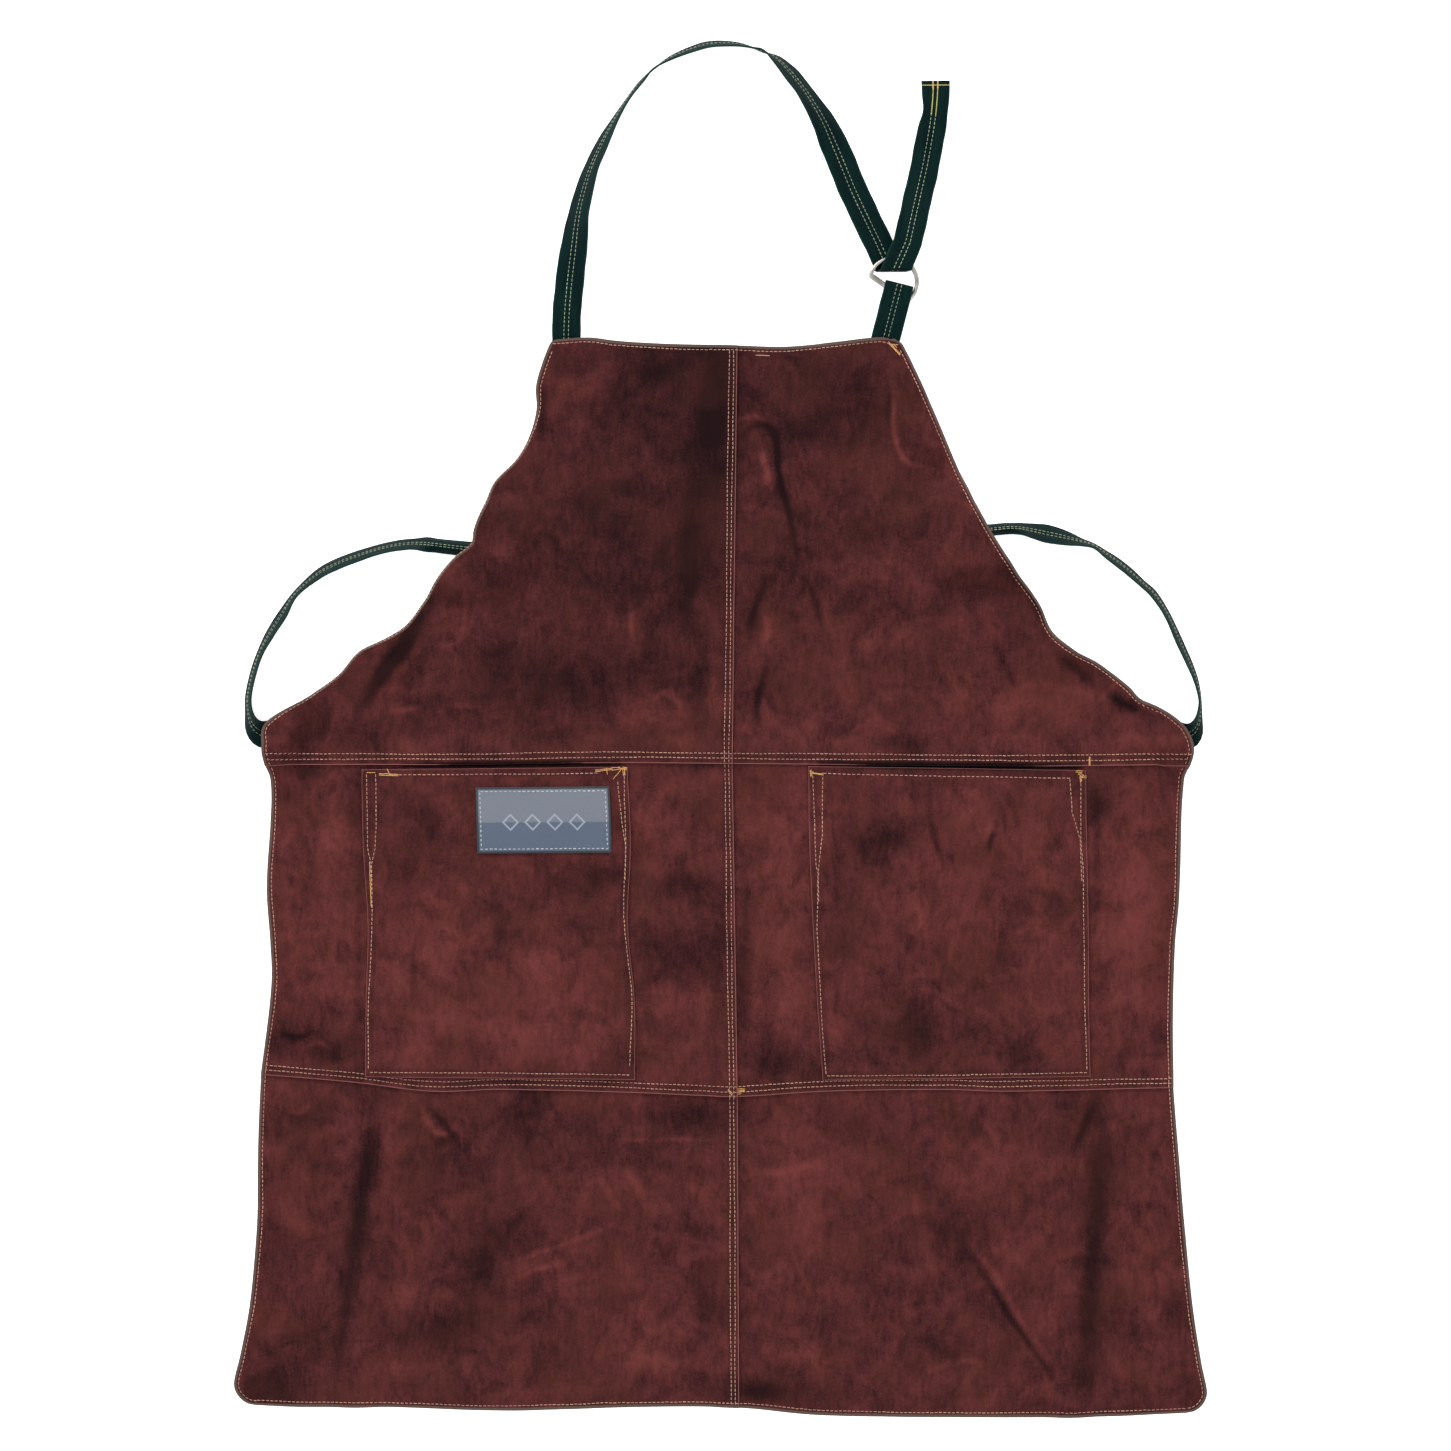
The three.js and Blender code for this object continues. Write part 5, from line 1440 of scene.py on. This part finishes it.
def drop_on(x, y, names):
    """The highest leather under a place, in millimetres, and its normal there."""
    best, normal = None, None
    start = Vector(((x + origin[0]) * MM, (y + origin[1]) * MM, 0.2))
    for name in names:
        spot, upward, _, _ = trees[name].ray_cast(start, Vector((0, 0, -1)))
        if spot is not None and (best is None or spot.z / MM > best):
            best, normal = spot.z / MM, upward
    return best, normal


def evenly(points, pitch, first):
    """Places at every pitch along a line, and the line's heading there."""
    points = np.array(points, float)
    run = run_of(points)
    at = np.arange(pitch * first, run[-1], pitch)
    heading = at_run(at + 0.4, run, points) - at_run(at - 0.4, run, points)
    return at_run(at, run, points), unit(heading)


def sew(points, on, pitch=3.1, long=2.5, wide=0.64, wander=0.22, first=0.5):
    """Stitches along a line on the leathers named in on, as rows of numbers."""
    spots, headings = evenly(points, pitch, first)
    if len(spots) == 0:
        return []
    phase = rng.uniform(0, 6)
    k = np.arange(len(spots))
    drift = wander * (np.sin(k / 9.7 + phase) + 0.5 * np.sin(k / 3.1 + phase))
    drift = drift + rng.normal(0, 0.07, len(spots))
    spots = spots + np.column_stack([-headings[:, 1], headings[:, 0]]) * drift[:, None]
    stitches = []
    for (x, y), (run_x, run_y) in zip(spots, headings):
        z, normal = drop_on(x, y, on)
        if z is None:
            continue
        run = Vector((run_x, run_y, 0))
        run = (run - normal * run.dot(normal)).normalized()
        size = (long * rng.uniform(0.9, 1.08), wide * rng.uniform(0.9, 1.1), wide * 0.8)
        middle = (x + origin[0], y + origin[1], z + 0.1)
        stitches.append((*middle, *run, *normal, *size))
    return stitches


def thread_piece(name, stitches, look):
    """One piece of thread from rows of middle, run, normal and size."""
    rows = np.array(stitches)
    middle, run, normal, size = rows[:, :3], rows[:, 3:6], rows[:, 6:9], rows[:, 9:]
    across = np.cross(normal, run)
    # A stitch on the floor side presses into its strap, not into the floor.
    middle[:, 2] = np.maximum(middle[:, 2], size[:, 2] / 2)
    co = middle[:, None] + sum(
        STITCH_CO[None, :, k, None] * axis[:, None] * size[:, None, k:k + 1]
        for k, axis in enumerate((run, across, normal)))
    count = len(STITCH_CO)
    faces = [tuple(k * count + v for v in face) for k in range(len(rows)) for face in STITCH_FACES]
    mesh = bpy.data.meshes.new(name)
    mesh.from_pydata((co.reshape(-1, 3) * MM).tolist(), [], faces)
    set_mark(mesh, "each", np.repeat(rng.uniform(0, 1, len(rows)), count))
    mesh.shade_smooth()
    mesh.materials.append(look)
    piece = bpy.data.objects.new(name, mesh)
    bpy.context.scene.collection.objects.link(piece)
    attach(piece, "root")
    print(name, len(rows), "stitches")
    return piece

print("leathers to sew on:", len(trees))

# %% [markdown]
# ## Rows of stitches
#
# One row runs 3.4 mm inside the outer edge. Two rows hold each lap, two the centre seam,
# and two each pocket's upper sides, where they run together below the mouth. The rows wander a
# little, because a thick hide doesn't feed evenly.

# %% The outer row
EDGE_INSET = 3.4
# The left armhole's edge rolls under, so its row shows close to the edge there.
ARMHOLE_INSET = [(0, 3.4), (0.12, 3.2), (0.24, 1.0), (0.8, 1.0), (0.9, 3.0), (1, 3.4)]


def inset_line(x, y, distance, side):
    """A line moved sideways: side 1 moves it to the left of its own direction."""
    run = np.stack([np.gradient(x), np.gradient(y)])
    run /= np.maximum(1e-9, np.hypot(*run))
    return np.column_stack([x - run[1] * distance * side, y + run[0] * distance * side])


def side_line(row, side):
    downs = np.concatenate([np.linspace(0, 0.9, 160), np.linspace(0.9, 1, 90)[1:]])
    distance = along(ARMHOLE_INSET, downs) if row is BIB and side < 0 else EDGE_INSET
    x, y = place(row, downs, side * reach(row, downs, side))
    return inset_line(x, y, distance, -side)


def level_line(row, down, start, end, distance, side):
    offset = np.linspace(start, end, 300)
    x, y = place(row, down, offset)
    return inset_line(x, y, distance, side)

outer = []
for row, name in ((BIB, "bib"), (WAIST, "waist"), (SKIRT, "skirt")):
    for side, hand in ((-1, "left"), (1, "right")):
        line = side_line(row, side)
        if row is BIB:
            line = line[line[:, 1] < line[0, 1] - 3.5]
        outer += sew(line, [f"{name}_{hand}"])
both_bibs = ["bib_left", "bib_right"]
top_row = level_line(BIB, 0, 3 - reach(BIB, 0.02, -1), reach(BIB, 0.02, 1) - 3, EDGE_INSET, -1)
outer += sew(top_row, both_bibs)
hem_row = level_line(SKIRT, 1, -reach(SKIRT, 1, -1), reach(SKIRT, 1, 1), EDGE_INSET, 1)
outer += sew(hem_row, ["skirt_left", "skirt_right"])
thread_piece("outer_row_thread", outer, threads["rose"])

# %% Laps and the centre seam
PIXELS_MIDDLE = (720.5, 728.5)


def on_picture(x, y):
    """A place on the drawing for a place on the picture, whose pixels are 5/7 mm wide."""
    return ((x - PIXELS_MIDDLE[0]) * 5 / 7 - origin[0], (PIXELS_MIDDLE[1] - y) * 5 / 7 - origin[1])

laps = []
both_waists = ["waist_left", "waist_right"]
for row, names, above in ((BIB, both_bibs, 3.9), (BIB, both_bibs, 7.6),
                          (WAIST, both_waists, 3.6), (WAIST, both_waists, 7.2)):
    down = 1 - above / row.height
    line = level_line(row, down, -reach(row, down, -1) + 2, reach(row, down, 1) - 2, 0, 1)
    laps += sew(line, names)
for row, name in ((BIB, "bib_left"), (WAIST, "waist_left"), (SKIRT, "skirt_left")):
    downs = np.linspace(0.012 if row is BIB else 0, 0.985 if row is SKIRT else 1, 200)
    for inset in (2.6, 5.7):
        laps += sew(np.column_stack(place(row, downs, np.full_like(downs, -inset))), [name])
mark = [on_picture(756, 356), on_picture(770, 356.5)]
laps += sew(mark, ["bib_right"], pitch=1.6)
thread_piece("lap_thread", laps, threads["rose"])

# %% Pocket rows
# Rows of (pocket, hand, places): a row of stitches down one side of a pocket. A place is the
# distance from that side and the depth below the mouth, in millimetres.
POCKET_ROWS = [
    (-1, "left", [(3.6, 3), (3, 56), (4.6, 68), (3.4, 98), (2.9, 110), (2, 165), (2.2, 216)]),
    (-1, "left", [(10, 3), (9.6, 40), (8.4, 56), (5, 68), (3.6, 98)]),
    (-1, "right", [(2.1, 3), (3, 30), (3.3, 56), (3, 100), (2, 125), (1.8, 158), (3.6, 212)]),
    (-1, "right", [(7.2, 10), (5.8, 40), (3.6, 56), (3.2, 80)]),
    (1, "left", [(3.2, 3), (4, 70), (5, 74), (2.6, 112), (2.6, 217)]),
    (1, "left", [(9.6, 4), (9, 48), (5.6, 73), (5, 96)]),
    (1, "right", [(3.6, 6), (4, 50), (3, 70), (2.6, 217)]),
    (1, "right", [(10.7, 6), (9.8, 30), (4.4, 50), (4.2, 80)]),
]
# Rows of (side, from, to, depth at the left, depth at the right, pitch) for the level rows.
POCKET_LEVELS = [
    (-1, 0.1, 0.9, 4.4, 4.0, 3.4), (1, 0.05, 0.95, 4.8, 6.2, 3.4),
    (-1, 0.015, 0.985, POCKET_HIGH - 3.6, POCKET_HIGH - 3.6, 3.1),
    (1, 0.015, 0.985, POCKET_HIGH - 2.8, POCKET_HIGH - 2.6, 3.1),
]
POCKET_NAMES = {-1: "pocket_left", 1: "pocket_right"}


def pocket_line(side, hand, rows):
    inset, depth = np.array(rows, float).T
    fine = np.linspace(depth[0], depth[-1], 200)
    inset = np.interp(fine, depth, inset)
    share = inset / POCKET_WIDE if hand == "left" else 1 - inset / POCKET_WIDE
    return np.column_stack(pocket_place(side, share, fine / POCKET_HIGH))


def pocket_cross(side, start, end, depth_start, depth_end):
    share = np.linspace(start, end, 120)
    depth = mix(depth_start, depth_end, share)
    return np.column_stack(pocket_place(side, share, depth / POCKET_HIGH))

pockets = []
for side, hand, rows in POCKET_ROWS:
    pockets += sew(pocket_line(side, hand, rows), [POCKET_NAMES[side]])
for side, *level_row, pitch in POCKET_LEVELS:
    pockets += sew(pocket_cross(side, *level_row), [POCKET_NAMES[side]], pitch=pitch)
thread_piece("pocket_thread", pockets, threads["rose"])

# %% The label's border
def label_line(inset):
    left = POCKET_WIDE - LABEL_INSET - LABEL_WIDE + inset
    right = POCKET_WIDE - LABEL_INSET - inset
    top, foot = LABEL_DROP + inset, LABEL_DROP + LABEL_HIGH - inset
    corners = [(left, top), (right, top), (right, foot), (left, foot), (left, top)]
    fine = np.concatenate([np.linspace(a, b, 60) for a, b in zip(corners, corners[1:])])
    return np.column_stack(pocket_place(-1, *(fine / (POCKET_WIDE, POCKET_HIGH)).T))

border = sew(label_line(3.1), ["label"], pitch=3.3, long=2.2, wide=0.85, wander=0.08)
thread_piece("label_thread", border, threads["white"])

# %% Strap rows
ROW_FROM_MIDDLE = 1.6
THREAD_RISE = 0.68


def strap_rows(sections, start=0.0, end=1.0, pitch=3.0, wide=0.52):
    """Two rows of stitches on a strap, on its face and on its back."""
    middle, edge, face = sections
    stitches = []
    up = unit(face)
    run = run_of(middle)
    at = np.arange(run[-1] * start + pitch / 2, run[-1] * end, pitch)
    for sign in (1, -1):
        for aside in (-ROW_FROM_MIDDLE, ROW_FROM_MIDDLE):
            line = middle + edge * (aside / (STRAP_WIDE / 2)) + up * sign * THREAD_RISE
            spots, ahead = at_run(at, run, line), at_run(at + 0.5, run, line)
            for spot, next_spot, normal in zip(spots, ahead, at_run(at, run, up * sign)):
                heading = next_spot - spot
                if np.linalg.norm(heading) < 1e-6:
                    continue
                heading = heading / np.linalg.norm(heading)
                size = (2.2 * rng.uniform(0.85, 1.1), wide * rng.uniform(0.9, 1.1), wide * 0.8)
                stitches.append((*(spot + origin), *heading, *normal, *size))
    return stitches

for name, sections in (("neck", neck_strap), ("ring", ring_strap), ("left_tie", left_tie),
                       ("right_tie", right_tie)):
    sewn_rows = strap_rows(sections)
    thread_piece(name + "_strap_thread", sewn_rows, threads["sage"])

# %% [markdown]
# ## Tacks and loose ends
#
# Where a seam ends, the machine runs back over itself in a thicker gold thread, and the cut ends
# stay proud. A tack is a few stitches side by side, and a loose end is a short chain of stitches
# that leaves it in a curve.

# %% Tacks
# For each leather, rows of (x, y, x, y, half width, stitches across): the ends of a tack as
# places on the picture, and its half width in millimetres.
TACKS = [
    ("pocket_left", [(596, 771, 612, 769, 0.5, 2), (606.5, 764, 608.5, 774, 0.3, 1),
        (612, 769, 627, 767, 0.7, 2), (623.2, 765, 624.6, 775, 0.5, 2),
        (622, 769, 614, 779, 0.2, 1), (619, 767, 628, 769, 0.8, 2), (380, 774, 399, 775, 0.5, 2),
        (389, 769, 391.5, 774.5, 0.3, 1), (368, 772.5, 376, 772.5, 0, 1),
        (370.5, 862, 372, 905, 0, 1)]),
    ("pocket_right", [(1075, 770.5, 1082, 771, 1.2, 3), (1078, 773, 1083, 777, 0.8, 2),
        (1079, 777, 1090, 776.5, 0.4, 2), (1079.6, 777, 1080, 782, 0.4, 2)]),
    ("bib_right", [(1088.8, 757, 1088.8, 767.5, 0.4, 2), (888, 343.5, 900, 355.5, 0.4, 2),
        (893, 346, 896, 350, 0.6, 2)]),
    ("waist_right", [(736, 1089, 745, 1089.5, 1.0, 3), (733, 1094, 741, 1092, 0.5, 2)]),
    ("waist_left", [(728.5, 1088.5, 732.5, 1094, 0.4, 2)]),
    ("pocket_right", [(810.5, 770, 811.5, 777, 0.4, 2), (812, 773, 823, 774.5, 0.4, 2)]),
]
tacks = []
for name, rows in TACKS:
    for *ends, half_width, count in rows:
        a, b = np.array(on_picture(*ends[:2])), np.array(on_picture(*ends[2:]))
        run_x, run_y = unit(b - a)
        aside = np.array([-run_y, run_x])
        for slip in np.linspace(-half_width, half_width, count):
            tacks += sew([a + aside * slip, b + aside * slip], [name], pitch=1.5, long=2.2,
                         wide=0.6, wander=0.1, first=rng.uniform(0.3, 0.7))
thread_piece("gold_tack_thread", tacks, threads["gold"])

# %% The sewn end of the neck strap
def tail_end_rows():
    middle, edge, face = neck_strap
    up, run, out = unit(face[-1]), unit(middle[-1] - middle[-3]), unit(edge[-1])
    rows, knots = [], []
    for across in np.arange(-9.4, 9.5, 1.5):
        for sign in (1, -1):
            spot = middle[-1] - run * 3.2 + out * across + up * sign * 0.72
            slant = unit(out + run * 0.12 * math.sin(across * 2.1))
            rows.append((*(spot + origin), *slant, *(up * sign), 2.0, 0.85, 0.6))
    for across in (-1.7, 1.7):
        for back in (0.8, 2.2, 3.6, 5.0):
            for sign in (1, -1):
                spot = middle[-1] - run * back + out * across + up * sign * 0.8
                knots.append((*(spot + origin), *run, *(up * sign), 2.0, 1.1, 0.8))
    return rows, knots

end_rows, end_knots = tail_end_rows()
end_rows += strap_rows(neck_strap, start=0.962, end=0.998, pitch=1.6, wide=0.85)
thread_piece("strap_end_thread", end_rows, threads["straw"])
thread_piece("strap_end_tack", end_knots, threads["gold"])

# %% The end
bpy.context.view_layer.update()
